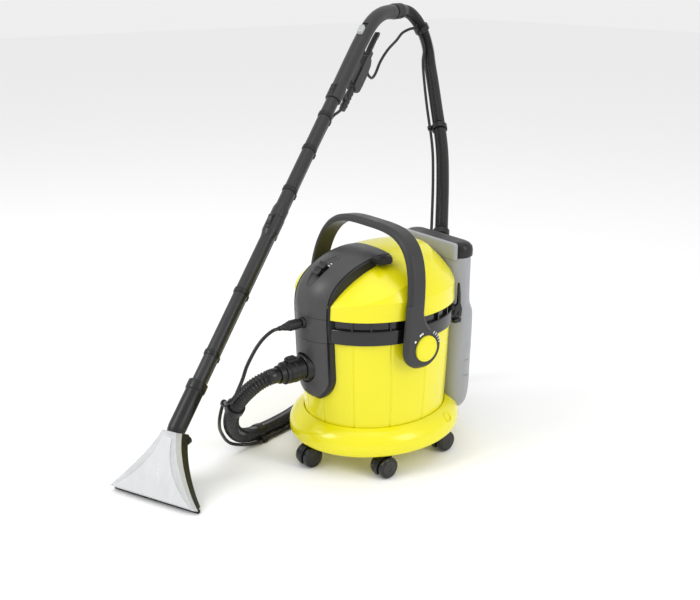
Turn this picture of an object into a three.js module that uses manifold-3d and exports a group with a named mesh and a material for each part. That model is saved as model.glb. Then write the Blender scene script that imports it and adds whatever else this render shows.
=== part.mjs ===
// Tub-type spray-extraction carpet cleaner on five twin-wheel casters, with its suction hose,
// spray hose, two-piece wand and wide floor nozzle. Millimetres, +Z up, the floor at z = 0.
// The machine's front (inlet side) faces -Y.
import * as THREE from 'three';
import { mergeVertices } from 'three/addons/utils/BufferGeometryUtils.js';
import Module from 'manifold-3d';

const wasm = await Module();
wasm.setup();

// ---------- driving dimensions ----------
const GAP = 0.4;                 // clearance between neighbouring pieces
const OVAL = 1.14;               // the plan is an oval, longer front to back than side to side
const RING_R = 186;              // base ring half-width
const RING_UNDER = 58;           // underside of the base ring
const TUB_TOP = 316;             // joint between the tub and the lift-off head
const BAND_TOP = 371;            // joint between the head band and the dome
const BAND_R = 168.5;            // head band half-width
const DOME_R = 171;              // dome half-width at its foot
const DOME_BALL = { x: 252, y: 295, z: 192, cy: 60, cz: 300 };   // crown of the dome
const WALL = 3;                  // moulded wall thickness
const REAR_FLAT = 150;           // the head and tub are cut flat here, for the tank behind
const CONSOLE_HALF = 58;         // half-width of the grey console at the front
const TRIM = 7;                  // width of the black trim on each side of the console
const WHEEL_R = 25;
const WHEEL_W = 14;
const CASTER_TRAIL = 10;
const CASTER_ANGLES = [-90, -26, 37, 143, 206];   // degrees round the ring, 0 = +X
const CASTER_REACH = 0.872;      // how far out the casters stand, as a part of the ring's half-width
const PIVOT = { y: -10, z: 303 };                 // carry handle pivot
const HOOP_LEAN = -5;            // the handle leans back a little at rest, degrees
const HOOP_OUT = { half: 188, rise: 254 };
const HOOP_IN = { half: 174, rise: 239 };
const HOOP_POWER = 3.6;          // squareness of the hoop's shoulders
const HOOP_WIDE = 46;
const HOOP_FRONT = 34;           // the hoop's legs stand this far in front of the pivot
const HOOP_BOW = 15;             // and its top comes this far back again
const LOBE_R = 45.5;
const LOBE_LONG = 12;            // the lobe reaches this much further to the front
const INLET_Z = 247;
const HOSE_D = 36;
const SPRAY_D = 8;
const TUBE_R = 17;
const WAND_FOOT = [-45, -613, 0];                 // where the wand's axis meets the floor
const WAND_HEADING = 23.9;       // degrees, turn of the wand about the vertical
const WAND_TILT = 41.5;          // degrees, rise of the wand above the floor
const WAND_AT = { neck: 200, lower: 293, middle: 775, upper: 1153 };   // stations along the wand
const LIP_Y = 64.5;
const LIP_HALF = 115;
const SHIFT = [182, 53, 0];      // puts the origin under the middle of the whole object

// ---------- materials ----------
function plastic(color, roughness = 0.45, extra = {}) {
  return new THREE.MeshStandardMaterial({ color, roughness, metalness: 0, ...extra });
}
const YELLOW = plastic(0xf2e617, 0.3);
const CONSOLE_GREY = plastic(0x5a5a5c, 0.5);
const HANDLE_GREY = plastic(0x4a4a4c, 0.5);
const BLACK = plastic(0x1c1c1d, 0.5);
const RUBBER = plastic(0x161616, 0.8);
const TANK_CLEAR = plastic(0xc4c7c9, 0.3, { transparent: true, opacity: 0.8 });
const NOZZLE_CLEAR = plastic(0xdfe3e4, 0.15, { transparent: true, opacity: 0.5 });
const LIGHT_GREY = plastic(0xcfcfcf, 0.45);
const STEEL = new THREE.MeshStandardMaterial({ color: 0xb0b0b0, roughness: 0.35, metalness: 0.9 });

// ---------- solids ----------
function toSolid(geometry) {
  const plain = geometry.index ? geometry.toNonIndexed() : geometry.clone();
  for (const name of Object.keys(plain.attributes)) {
    if (name !== 'position') plain.deleteAttribute(name);
  }
  const merged = mergeVertices(plain, 1e-3);
  const points = merged.attributes.position;
  const index = merged.index.array;
  const triangles = [];
  const [a, b, c] = [new THREE.Vector3(), new THREE.Vector3(), new THREE.Vector3()];
  let volume = 0;
  for (let i = 0; i < index.length; i += 3) {
    const [p, q, r] = [index[i], index[i + 1], index[i + 2]];
    if (p === q || q === r || r === p) continue;
    triangles.push([p, q, r]);
    a.fromBufferAttribute(points, p);
    b.fromBufferAttribute(points, q);
    c.fromBufferAttribute(points, r);
    volume += a.dot(b.cross(c));
  }
  const facing = volume < 0 ? triangles.map(([p, q, r]) => [p, r, q]) : triangles;
  return new wasm.Manifold(new wasm.Mesh({
    numProp: 3,
    vertProperties: new Float32Array(points.array),
    triVerts: new Uint32Array(facing.flat()),
  }));
}

function toGeometry(solid) {
  const mesh = solid.getMesh();
  const geometry = new THREE.BufferGeometry();
  geometry.setAttribute('position', new THREE.BufferAttribute(new Float32Array(mesh.vertProperties), 3));
  geometry.setIndex(new THREE.BufferAttribute(new Uint32Array(mesh.triVerts), 1));
  geometry.computeVertexNormals();
  return geometry;
}

function moved(solid, x = 0, y = 0, z = 0) {
  return solid.translate([x, y, z]);
}

function box(x0, x1, y0, y1, z0, z1) {
  const block = new THREE.BoxGeometry(x1 - x0, y1 - y0, z1 - z0);
  block.translate((x0 + x1) / 2, (y0 + y1) / 2, (z0 + z1) / 2);
  return toSolid(block);
}

function rodZ(radius, z0, z1, sides = 20, topRadius = radius) {
  const rod = new THREE.CylinderGeometry(topRadius, radius, z1 - z0, sides);
  rod.rotateX(Math.PI / 2);
  rod.translate(0, 0, (z0 + z1) / 2);
  return toSolid(rod);
}

function rodX(radius, x0, x1, sides = 20) {
  return rodZ(radius, x0, x1, sides).rotate([0, 90, 0]);
}

function rodY(radius, y0, y1, sides = 20) {
  return rodZ(radius, y0, y1, sides).rotate([-90, 0, 0]);
}

// A round body about Z from [radius, z] points; the oval stretches it along Y.
function turned(profile, sides = 40, oval = 1) {
  const lathe = new THREE.LatheGeometry(profile.map(([r, z]) => new THREE.Vector2(r, z)), sides);
  lathe.rotateX(Math.PI / 2);
  lathe.scale(1, oval, 1);
  return toSolid(lathe);
}

// Skins a row of closed sections that have the same number of points. Each end is closed flat;
// flatten(point) gives the two numbers that lay an end section out for its cap.
function loft(sections, flatten) {
  const count = sections[0].length;
  const corners = sections.flat();
  const faces = [];
  for (let s = 0; s + 1 < sections.length; s += 1) {
    for (let i = 0; i < count; i += 1) {
      const j = (i + 1) % count;
      const [p, q, r, t] = [s * count + i, s * count + j, (s + 1) * count + j, (s + 1) * count + i];
      faces.push([p, q, r], [p, r, t]);
    }
  }
  const last = (sections.length - 1) * count;
  const outline = (section) => section.map((point) => new THREE.Vector2(...flatten(point)));
  for (const [p, q, r] of THREE.ShapeUtils.triangulateShape(outline(sections[0]), [])) {
    faces.push(capFace(outline(sections[0]), p, q, r, 0, true));
  }
  for (const [p, q, r] of THREE.ShapeUtils.triangulateShape(outline(sections.at(-1)), [])) {
    faces.push(capFace(outline(sections.at(-1)), p, q, r, last, false));
  }
  const geometry = new THREE.BufferGeometry();
  geometry.setAttribute('position', new THREE.Float32BufferAttribute(corners.flat(), 3));
  geometry.setIndex(faces.flat());
  return toSolid(geometry);
}

// Turns a cap triangle so that it runs against the direction of the outline at the first end,
// and with it at the last end.
function capFace(outline, p, q, r, offset, reversed) {
  const area = THREE.ShapeUtils.area([outline[p], outline[q], outline[r]]);
  const along = Math.sign(area) === Math.sign(THREE.ShapeUtils.area(outline));
  return (along !== reversed) ? [offset + p, offset + q, offset + r] : [offset + p, offset + r, offset + q];
}

function roundedPlan(halfX, y0, y1, radius, z, perCorner = 5) {
  const points = [];
  const centres = [[halfX - radius, y0 + radius, -90], [halfX - radius, y1 - radius, 0],
    [radius - halfX, y1 - radius, 90], [radius - halfX, y0 + radius, 180]];
  for (const [cx, cy, start] of centres) {
    for (let i = 0; i < perCorner; i += 1) {
      const angle = THREE.MathUtils.degToRad(start + (90 * i) / (perCorner - 1));
      points.push([cx + radius * Math.cos(angle), cy + radius * Math.sin(angle), z]);
    }
  }
  return points;
}

function ring2d(radius, sides) {
  const shape = new THREE.Shape();
  for (let i = 0; i < sides; i += 1) {
    const angle = (2 * Math.PI * i) / sides;
    const [x, y] = [radius * Math.cos(angle), radius * Math.sin(angle)];
    if (i === 0) shape.moveTo(x, y);
    else shape.lineTo(x, y);
  }
  shape.closePath();
  return shape;
}

function tube(points, diameter, steps, sides = 10) {
  const path = new THREE.CatmullRomCurve3(points.map((p) => new THREE.Vector3(...p)), false, 'centripetal');
  const skin = new THREE.ExtrudeGeometry(ring2d(diameter / 2, sides), { steps, extrudePath: path });
  return toSolid(skin);
}

// ---------- the assembly ----------
const object = new THREE.Group();
object.position.set(...SHIFT);
const machine = new THREE.Group();
const wand = new THREE.Group();
wand.position.set(...WAND_FOOT);
wand.rotation.z = THREE.MathUtils.degToRad(WAND_HEADING);
object.add(machine, wand);

function put(parent, name, solid, material) {
  const mesh = new THREE.Mesh(toGeometry(solid), material);
  mesh.name = name;
  parent.add(mesh);
  return mesh;
}

// ---------- base ring, tub and casters ----------
function tankSpace(clear) {
  return loft([
    roundedPlan(84 + clear, REAR_FLAT + 2 - clear, 196 + clear, 18, 69.6 - clear),
    roundedPlan(101 + clear, REAR_FLAT + 2 - clear, 211 + clear, 28, 78),
    roundedPlan(110 + clear, REAR_FLAT + 2 - clear, 219 + clear, 33, 100),
    roundedPlan(114 + clear, REAR_FLAT + 2 - clear, 222 + clear, 34, 200),
    roundedPlan(115 + clear, REAR_FLAT + 2 - clear, 223 + clear, 35, 322),
    roundedPlan(104 + clear, REAR_FLAT + 2 - clear, 223 + clear, 35, 340),
    roundedPlan(103 + clear, REAR_FLAT + 2 - clear, 223 + clear, 35, 453 + clear),
  ], ([x, y]) => [x, y]);
}

function baseRing() {
  const skirt = turned([[0, RING_UNDER], [170, RING_UNDER], [173, 55.5], [181, 55.5], [185, 60],
    [RING_R, 70], [RING_R - 1, 84], [181, 95], [173, 104], [164, 111], [157.5, 114.5], [156.2, 113],
    [160, 108], [170, 100], [177, 92], [181.5, 82], [182, 66], [180, 62], [0, 62]], 40, OVAL);
  return skirt.subtract(tankSpace(GAP));
}

const TUB_OUTSIDE = [[0, 62.6], [147, 62.6], [152, 66], [153.5, 112], [163, 300], [164, TUB_TOP], [0, TUB_TOP]];
const TUB_INSIDE = [[0, 67], [144, 67], [149, 72], [150.5, 112], [160, 300], [161, TUB_TOP + 5], [0, TUB_TOP + 5]];

function tubBody() {
  const front = (y) => box(-300, 300, -300, y, 0, 600);
  const outside = turned(TUB_OUTSIDE, 40, OVAL).intersect(front(REAR_FLAT));
  const inside = turned(TUB_INSIDE, 40, OVAL).intersect(front(REAR_FLAT - WALL));
  const port = moved(rodY(21, -215, -120), 0, 0, INLET_Z);
  return outside.subtract(inside).subtract(port);
}

put(machine, 'base_ring', baseRing(), YELLOW);
put(machine, 'tub', tubBody(), YELLOW);

function casterFork() {
  const stem = rodZ(6.5, 48.2, RING_UNDER - GAP, 16);
  const hub = box(-6.5, 6.5, -CASTER_TRAIL - 7, 8, 20, 49);
  const hood = rodX(WHEEL_R + 2, -6.5, 6.5, 16).translate([0, -CASTER_TRAIL, WHEEL_R]);
  const bore = rodX(4.2, -20, 20, 16).translate([0, -CASTER_TRAIL, WHEEL_R]);
  const low = box(-20, 20, -80, 80, -20, WHEEL_R - 12);
  return stem.add(hub).add(hood).subtract(low).subtract(bore);
}

function casterWheels() {
  const inner = 7.2;
  const wheel = rodX(WHEEL_R, inner, inner + WHEEL_W, 20);
  const other = rodX(WHEEL_R, -inner - WHEEL_W, -inner, 20);
  return wheel.add(other).add(rodX(3.6, -inner - 2, inner + 2, 12));
}

CASTER_ANGLES.forEach((degrees, i) => {
  const angle = THREE.MathUtils.degToRad(degrees);
  const reach = RING_R * CASTER_REACH;
  const at = [reach * Math.cos(angle), reach * OVAL * Math.sin(angle), 0];
  const caster = new THREE.Group();
  caster.position.set(...at);
  machine.add(caster);
  put(caster, `caster_fork_${i + 1}`, casterFork(), BLACK);
  const wheels = put(caster, `caster_wheels_${i + 1}`, casterWheels(), BLACK);
  wheels.position.set(0, -CASTER_TRAIL, WHEEL_R);
});

// ---------- head: band, deck and dome ----------
const before = (y) => box(-300, 300, -300, y, 0, 700);

function headBand() {
  const outside = turned([[0, TUB_TOP + GAP], [BAND_R - 1, TUB_TOP + GAP], [BAND_R, 320], [BAND_R, 349],
    [BAND_R - 2, 351], [161, 351.5], [161, BAND_TOP - GAP], [0, BAND_TOP - GAP]], 40, OVAL);
  const inside = turned([[0, 300], [156, 300], [156, 400], [0, 400]], 40, OVAL);
  return outside.intersect(before(REAR_FLAT)).subtract(inside.intersect(before(REAR_FLAT - 4)));
}

function motorDeck() {
  const plate = turned([[0, 331], [155, 331], [155, 335], [0, 335]], 40, OVAL);
  return plate.intersect(before(REAR_FLAT - 5)).subtract(rodZ(36, 300, 400));
}

function crown(grow) {
  const ball = new THREE.SphereGeometry(1, 36, 24);
  ball.scale(DOME_BALL.x + grow, DOME_BALL.y + grow, DOME_BALL.z + grow);
  ball.translate(0, DOME_BALL.cy, DOME_BALL.cz);
  return toSolid(ball);
}

function domeSolid(grow, foot = BAND_TOP) {
  const wall = turned([[0, foot], [DOME_R + grow, foot], [DOME_R - 1.5 + grow, 412],
    [DOME_R - 11 + grow, 430], [DOME_R - 31 + grow, 457], [DOME_R - 71 + grow, 500], [0, 500]], 40, OVAL);
  return wall.intersect(crown(grow)).intersect(before(REAR_FLAT + grow));
}

put(machine, 'head_band', headBand(), BLACK);
put(machine, 'motor_deck', motorDeck(), BLACK);
put(machine, 'dome_cover', domeSolid(0).subtract(domeSolid(-WALL, BAND_TOP - 5)), YELLOW);

// ---------- console over the front of the machine ----------
// Side view of the console's face on the centre line, and at its edge, as [y, z].
const FACE_MIDDLE = [[-176, 165], [-190, 176], [-202, 200], [-206, 232], [-207, 300], [-206, 371],
  [-204, 398], [-195, 426], [-180, 448], [-158, 466], [-126, 481], [-88, 491], [-46, 495], [-8, 493]];
const FACE_EDGE = [[-160, 165], [-168, 176], [-176, 200], [-180, 232], [-183, 300], [-186, 371],
  [-184, 398], [-177, 420], [-162, 441], [-138, 460], [-106, 476], [-70, 486], [-36, 490], [-8, 489]];

function consoleSection(x) {
  const side = Math.min(1, Math.abs(x) / CONSOLE_HALF) ** 2;
  const face = FACE_MIDDLE.map(([y, z], i) => {
    const [edgeY, edgeZ] = FACE_EDGE[i];
    return [x, y + (edgeY - y) * side, z + (edgeZ - z) * side];
  });
  return [...face, [x, -8, 380], [x, -120, 380], [x, -120, 165]];
}

function consoleBody(x0, x1, steps = 8) {
  const sections = [];
  for (let i = 0; i <= steps; i += 1) sections.push(consoleSection(x0 + ((x1 - x0) * i) / steps));
  return loft(sections, ([, y, z]) => [y, z]);
}

const layer = (z0, z1) => box(-300, 300, -400, 300, z0, z1);
const headSpace = () => domeSolid(GAP).add(turned([[0, 250], [BAND_R + GAP, 250],
  [BAND_R + GAP, BAND_TOP + 2], [0, BAND_TOP + 2]], 40, OVAL));

function inletHousing() {
  const half = CONSOLE_HALF + TRIM;
  const low = 167;
  const outline = rodY(half, -300, 0, 36).translate([0, 0, low + half]).add(
    box(-half, half, -300, 0, low + half, TUB_TOP));
  const tubSpace = turned(TUB_OUTSIDE.map(([r, z]) => [r === 0 ? 0 : r + GAP, z]), 40, OVAL);
  const collar = moved(rodY(29, -213, -190, 28), 0, 0, INLET_Z);
  const bore = moved(rodY(21, -230, -120), 0, 0, INLET_Z);
  const shell = consoleBody(-half, half, 8).intersect(outline).add(collar);
  return shell.intersect(layer(0, TUB_TOP)).subtract(tubSpace).subtract(bore);
}

put(machine, 'inlet_housing', inletHousing(), CONSOLE_GREY);
const socketBore = () => moved(rodY(9, -230, -195, 20), 0, 0, 354);
const faceBody = consoleBody(-CONSOLE_HALF, CONSOLE_HALF, 8).subtract(headSpace());
put(machine, 'console_mid', faceBody.intersect(layer(TUB_TOP + GAP, BAND_TOP - GAP / 2))
  .subtract(socketBore()), CONSOLE_GREY);

// The switch pocket is a long oval dish in the hood; the two rocker switches stand in it.
const POCKET = { y: -160, z: 461, lean: 38 };
function pocketSpace() {
  const dish = new THREE.CapsuleGeometry(13, 40, 6, 20);
  dish.scale(1, 1, 0.55);
  return toSolid(dish).rotate([POCKET.lean, 0, 0])
    .translate([0, POCKET.y + 12, POCKET.z + 16]);
}
const hood = faceBody.intersect(layer(BAND_TOP + GAP / 2, 600)).subtract(pocketSpace());
put(machine, 'console_hood', hood, CONSOLE_GREY);

function rocker() {
  const pad = box(-7, 7, -8.5, 8.5, -3, 3);
  return pad.add(rodX(3, -7, 7, 12));
}
[['rocker_suction', -9.5], ['rocker_spray', 8.5]].forEach(([name, along]) => {
  const lean = THREE.MathUtils.degToRad(POCKET.lean);
  const pad = put(machine, name, rocker(), BLACK);
  pad.position.set(0, POCKET.y + along * Math.cos(lean), POCKET.z + 9.4 + along * Math.sin(lean));
  pad.rotation.x = lean;
});

function consoleTrim(side) {
  const [near, far] = [CONSOLE_HALF + GAP, CONSOLE_HALF + TRIM];
  const strip = consoleBody(side > 0 ? near : -far, side > 0 ? far : -near, 1);
  return strip.intersect(layer(TUB_TOP + GAP, 600)).subtract(headSpace());
}
put(machine, 'console_trim_left', consoleTrim(-1), BLACK);
put(machine, 'console_trim_right', consoleTrim(1), BLACK);

// ---------- fittings on the head ----------
function spraySocket() {
  const sleeve = rodY(8.6, -214, -196, 20).add(rodY(12, -214, -207.6, 20));
  return sleeve.subtract(rodY(6.4, -240, -198.5, 20));
}
put(machine, 'spray_socket', spraySocket(), BLACK).position.z = 354;

function headLatch() {
  const grip = box(0, 22, -24, 16, -7, 7).add(rodX(7, 0, 22, 16).translate([0, -24, 0]));
  return grip.subtract(rodX(2.4, -5, 30, 12).translate([0, -24, 0]));
}
const LATCH = [CONSOLE_HALF + TRIM + 1, -34, 489];
put(machine, 'head_latch', headLatch(), BLACK).position.set(...LATCH);

// ---------- works inside the head and tub ----------
function motorHousing() {
  const can = turned([[0, 336], [68, 336], [68, 420], [60, 440], [0, 440]], 28);
  const hollow = turned([[0, 330], [64, 330], [64, 418], [57, 436], [0, 436]], 28);
  return can.subtract(hollow).subtract(rodZ(5, 400, 500, 12));
}

function fanRotor() {
  const disc = rodZ(56, 346, 350, 24).add(rodZ(30, 350, 360, 24)).add(rodZ(4, 355, 446, 12));
  let rotor = disc;
  for (let i = 0; i < 6; i += 1) {
    rotor = rotor.add(box(20, 54, -1, 1, 349, 360).rotate([0, 0, i * 60]));
  }
  return rotor;
}

function floatCage() {
  let cage = turned([[0, 264], [34, 264], [34, 327], [40, 327], [40, 330.4], [30, 330.4], [30, 268],
    [0, 268]], 24).subtract(rodZ(8, 260, 270, 16));
  for (let i = 0; i < 4; i += 1) {
    cage = cage.subtract(box(20, 45, -8, 8, 280, 318).rotate([0, 0, 45 + i * 90]));
  }
  return cage;
}

function filterCartridge() {
  const pleats = [];
  for (let i = 0; i < 48; i += 1) {
    const angle = (Math.PI * 2 * i) / 48;
    const radius = i % 2 ? 46 : 53;
    pleats.push([radius * Math.cos(angle), radius * Math.sin(angle)]);
  }
  const section = (z) => pleats.map(([x, y]) => [x, y, z]);
  return loft([section(268), section(326)], ([x, y]) => [x, y]).subtract(rodZ(42, 260, 330, 24));
}

function sprayPump() {
  const body = box(-20, 20, -28, 28, 0, 40).add(rodY(16, -46, 30, 20).translate([0, 0, 24]));
  return body.add(rodZ(4, 38, 52, 12));
}

put(machine, 'motor_housing', motorHousing(), STEEL);
put(machine, 'fan_rotor', fanRotor(), STEEL);
put(machine, 'float_cage', floatCage(), BLACK);
put(machine, 'float_ball', toSolid(new THREE.SphereGeometry(22, 14, 10)), LIGHT_GREY)
  .position.set(0, 0, 292);
put(machine, 'filter_cartridge', filterCartridge(), LIGHT_GREY);
put(machine, 'spray_pump', sprayPump(), BLACK).position.set(104, 20, 335.6);

function intakePipe() {
  const pipe = rodY(20, -176, -134, 24).subtract(rodY(17, -200, -150, 24));
  return pipe.subtract(box(-17, 17, -151, -136, -40, 6));
}
put(machine, 'intake_pipe', intakePipe(), BLACK).position.z = INLET_Z;

// The gland that the mains lead would leave by, on the left of the head band.
function mainsGland() {
  return rodX(9, -174, -163, 16).subtract(rodX(4, -300, 0, 12));
}
put(machine, 'mains_gland', mainsGland(), BLACK).position.set(0, 60, 334);

// ---------- carry handle ----------
const HOOP_STEPS = 36;
function hoopPoint({ half, rise }, angle) {
  const [c, s] = [Math.cos(angle), Math.max(0, Math.sin(angle))];
  return [half * Math.sign(c) * Math.abs(c) ** (2 / HOOP_POWER), rise * s ** (2 / HOOP_POWER)];
}

function hoopSection(angle) {
  const corner = (size, side) => {
    const [x, z] = hoopPoint(size, angle);
    return [x, HOOP_BOW * (z / HOOP_OUT.rise) ** 2 - HOOP_FRONT + (side * HOOP_WIDE) / 2, z];
  };
  return [corner(HOOP_IN, -1), corner(HOOP_OUT, -1), corner(HOOP_OUT, 1), corner(HOOP_IN, 1)];
}

function carryHandle() {
  const sections = [];
  for (let i = 0; i <= HOOP_STEPS; i += 1) {
    const share = i / HOOP_STEPS;
    sections.push(hoopSection(Math.PI * (0.5 - 0.5 * Math.cos(Math.PI * share))));
  }
  let handle = loft(sections, ([x, y]) => [x, y]);
  for (const side of [1, -1]) {
    const [x0, x1] = side > 0 ? [HOOP_IN.half, HOOP_OUT.half] : [-HOOP_OUT.half, -HOOP_IN.half];
    const lobe = rodX(LOBE_R, x0, x1, 36);
    handle = handle.add(lobe).add(moved(lobe, 0, -LOBE_LONG, 0))
      .add(box(x0, x1, -LOBE_LONG, 0, -LOBE_R * 0.995, LOBE_R * 0.995));
  }
  return handle.subtract(rodX(12.4, -HOOP_OUT.half - 40, HOOP_OUT.half + 40, 24));
}

function pivotCap() {
  return rodX(30, HOOP_OUT.half + GAP, HOOP_OUT.half + 4, 32).add(rodX(12, 164.6, HOOP_OUT.half + 2, 24));
}

const pivot = new THREE.Group();
pivot.position.set(0, PIVOT.y, PIVOT.z);
machine.add(pivot);
put(pivot, 'carry_handle', carryHandle(), HANDLE_GREY).rotation.x = THREE.MathUtils.degToRad(HOOP_LEAN);
put(pivot, 'pivot_cap_right', pivotCap(), YELLOW);
put(pivot, 'pivot_cap_left', pivotCap().rotate([0, 0, 180]), YELLOW);

// ---------- fresh-water tank ----------
function freshWaterTank() {
  const inside = loft([
    roundedPlan(81, REAR_FLAT + 5, 193, 15, 73),
    roundedPlan(98, REAR_FLAT + 5, 208, 25, 80),
    roundedPlan(111, REAR_FLAT + 5, 219, 32, 200),
    roundedPlan(112, REAR_FLAT + 5, 220, 32, 320),
    roundedPlan(101, REAR_FLAT + 5, 220, 32, 340),
    roundedPlan(100, REAR_FLAT + 5, 220, 32, 450),
  ], ([x, y]) => [x, y]);
  const mouth = box(-60, 60, 166, 206, 440, 460);
  return tankSpace(0).subtract(inside).subtract(mouth);
}

function tankCap() {
  const hood = loft([
    roundedPlan(104, 164, 223.6, 28, 453.6),
    roundedPlan(104, 164, 223.6, 28, 470),
    roundedPlan(99, 166, 219, 24, 482),
    roundedPlan(86, 170, 208, 17, 488),
  ], ([x, y]) => [x, y]);
  return hood.subtract(box(-80, 80, 172, 205, 440, 478));
}

function tankRim() {
  return loft([
    roundedPlan(101, 152, 163.4, 5, 453.4),
    roundedPlan(100, 152, 163.4, 5, 491),
  ], ([x, y]) => [x, y]);
}

put(machine, 'fresh_water_tank', freshWaterTank(), TANK_CLEAR);
put(machine, 'tank_rim', tankRim(), TANK_CLEAR);
put(machine, 'tank_cap', tankCap(), BLACK);

// A curved blade that stands out beside the tank, for winding a lead or holding the hose.
function accessoryHook() {
  const side = [[0, 0], [14, 0], [16, 20], [10, 34], [9, 60], [5, 84], [2, 70], [2, 36], [-6, 28], [-10, 10]];
  const section = (x) => side.map(([y, z]) => [x, y, z]);
  const blade = loft([section(0), section(6)], ([, y, z]) => [y, z]);
  return blade.add(box(-24, 4, -12, 8, 2, 18));
}
put(machine, 'accessory_hook', accessoryHook().translate([119, 143, 322]).subtract(headSpace()), BLACK);

// ---------- suction hose and spray hose ----------
function hoseConnector() {
  const sleeve = rodY(20.4, -228, -192, 28).add(rodY(25, -262, -213.6, 28));
  const tail = rodY(21, -275, -262, 28);
  return sleeve.add(tail).subtract(rodY(17, -300, -100, 24)).subtract(box(-9, 9, -252, -224, 18, 40))
    .add(box(-12, 12, -226, -222, 18, 32)).subtract(rodY(17, -300, -100, 24));
}
put(machine, 'hose_connector', hoseConnector(), BLACK).position.z = INLET_Z;
put(machine, 'connector_button', box(-8, 8, -251, -227, 21, 33), BLACK).position.z = INLET_Z;

const HOSE_ROUTE = [[0, -275.8, 247], [0, -297, 247], [-12, -324, 233], [-34, -344, 204], [-60, -352, 168],
  [-92, -344, 125], [-127, -321, 80], [-155, -287, 43], [-174, -248, 24], [-188, -190, 18.6],
  [-205, -120, 18.6], [-232, -45, 18.6], [-252, 40, 18.6], [-258, 130, 18.6], [-245, 215, 19],
  [-214, 282, 30], [-178, 322, 62], [-152, 340, 112], [-141, 345, 180], [-148, 347, 260],
  [-180, 372, 345], [-234, 425, 428], [-309, 495, 531], [-375, 550, 606], [-467, 609, 709],
  [-513, 637, 764], [-556, 661, 820], [-574, 669, 860], [-584, 660, 902], [-586, 636, 938],
  [-579, 600, 963], [-565, 560.2, 972], [-558.9, 546.7, 972]];
put(machine, 'suction_hose', tube(HOSE_ROUTE, HOSE_D, 40, 8), RUBBER);

function sprayPlug() {
  return rodY(6, -232, -199, 16).add(rodY(10.5, -246, -215, 20)).add(rodY(8, -256, -246, 16, 5))
    .add(rodY(6, -270, -256, 16));
}
put(machine, 'spray_plug', sprayPlug(), BLACK).position.z = 354;

const LEAD_ROUTE = [[0, -270.8, 354], [0, -285, 353], [-4, -304, 341], [-5, -322, 325], [-5, -338, 305],
  [-5, -352, 283], [-6, -362, 258], [-12, -369, 236], [-22, -374, 214]];
put(machine, 'spray_hose_lead', tube(LEAD_ROUTE, SPRAY_D, 12, 8), RUBBER);

// ---------- wand: nozzle, tubes and grip ----------
// In the wand's own frame the wand runs in the plane x = 0, away along +Y and up.
const tilt = THREE.MathUtils.degToRad(WAND_TILT);
const alongWand = (station, rise = 0) => [0, station * Math.cos(tilt) - rise * Math.sin(tilt),
  station * Math.sin(tilt) + rise * Math.cos(tilt)];
const axis = new THREE.Group();      // its Z runs up along the tubes, its -Y is the upper side
axis.rotation.x = tilt - Math.PI / 2;
wand.add(axis);

function nozzleSection(share, front, back) {
  const [, topY, topZ] = alongWand(WAND_AT.neck - 4);
  const lipZ = 7.6;
  const y = LIP_Y + (topY - LIP_Y) * Math.max(0, share) ** 1.25;
  const z = lipZ + (topZ - lipZ) * share;
  const half = 19 + (LIP_HALF - 19) * (1 - share) ** 1.35;
  const lean = tilt + 0.35;
  const thick = 15 + 8 * share;
  return [[-half, back], [half, back], [half, front], [-half, front]].map(([x, part]) => [
    x, y - part * thick * Math.sin(lean), z + part * thick * Math.cos(lean)]);
}

function nozzleShell(front, back, grow = 0, shares = [0, 0.12, 0.25, 0.4, 0.55, 0.7, 0.85, 1]) {
  const rows = shares.map((share) => nozzleSection(share, front, back).map(([x, y, z]) => [
    x - Math.sign(x) * grow, y, z]));
  return loft(rows, ([x, y]) => [x, y]);
}

function tubeRun(from, to, radius, bore, sides = 24) {
  return rodZ(radius, from, to, sides).subtract(rodZ(bore, from - 5, to + 5, sides));
}

function nozzleBody() {
  const neck = tubeRun(WAND_AT.neck, WAND_AT.lower + 26, 21, 18.4)
    .add(tubeRun(WAND_AT.lower + 2, WAND_AT.lower + 26, 23, 18.4));
  const neckInPlace = neck.rotate([-90 + WAND_TILT, 0, 0]);
  return nozzleShell(-0.05, -0.62).add(neckInPlace);
}
const overLip = () => box(-300, 300, -300, 600, 6.8, 500);
put(wand, 'nozzle_body', nozzleBody().intersect(overLip()), BLACK);
const coverInside = nozzleShell(0.86, -0.2, 2.5, [-0.1, 0.12, 0.25, 0.4, 0.55, 0.7, 0.85, 0.93]);
put(wand, 'nozzle_cover', nozzleShell(1, 0).subtract(coverInside).intersect(overLip()), NOZZLE_CLEAR);
put(wand, 'nozzle_lip', box(-LIP_HALF + 1, LIP_HALF - 1, LIP_Y + 1, LIP_Y + 9, 0, 6.4), RUBBER);
put(wand, 'nozzle_knob', rodY(9, -6, 6, 20).add(box(-2, 2, -9, 6, -9, 9)), BLACK)
  .position.set(16, 166, 104);

function wandTube(from, to) {
  return tubeRun(from, to, TUBE_R, 15.4);
}
put(axis, 'tube_lower', wandTube(WAND_AT.neck + 20, WAND_AT.middle)
  .add(tubeRun(WAND_AT.middle - 40, WAND_AT.middle + 4, 21, 15.4)), HANDLE_GREY);
put(axis, 'tube_upper', wandTube(WAND_AT.middle + 4.4, WAND_AT.upper)
  .add(tubeRun(WAND_AT.middle + 4.4, WAND_AT.middle + 30, 20, 15.4)), HANDLE_GREY);
const latch = () => box(-5, 5, -27, -21.4, -14, 14).add(box(-3.5, 3.5, -29.5, -26, -4, 12));
put(axis, 'tube_latch_lower', latch(), BLACK).position.z = WAND_AT.middle - 18;
put(axis, 'tube_latch_upper', latch(), BLACK).position.z = WAND_AT.upper + 22;
const sprayPipe = tube([[0, 26, 330], [0, 26, 700], [0, 26, 1080], [0, 30, 1125], [0, 44, 1152], [0, 52, 1168]],
  SPRAY_D, 12, 8);
put(axis, 'spray_pipe', sprayPipe, BLACK);

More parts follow.
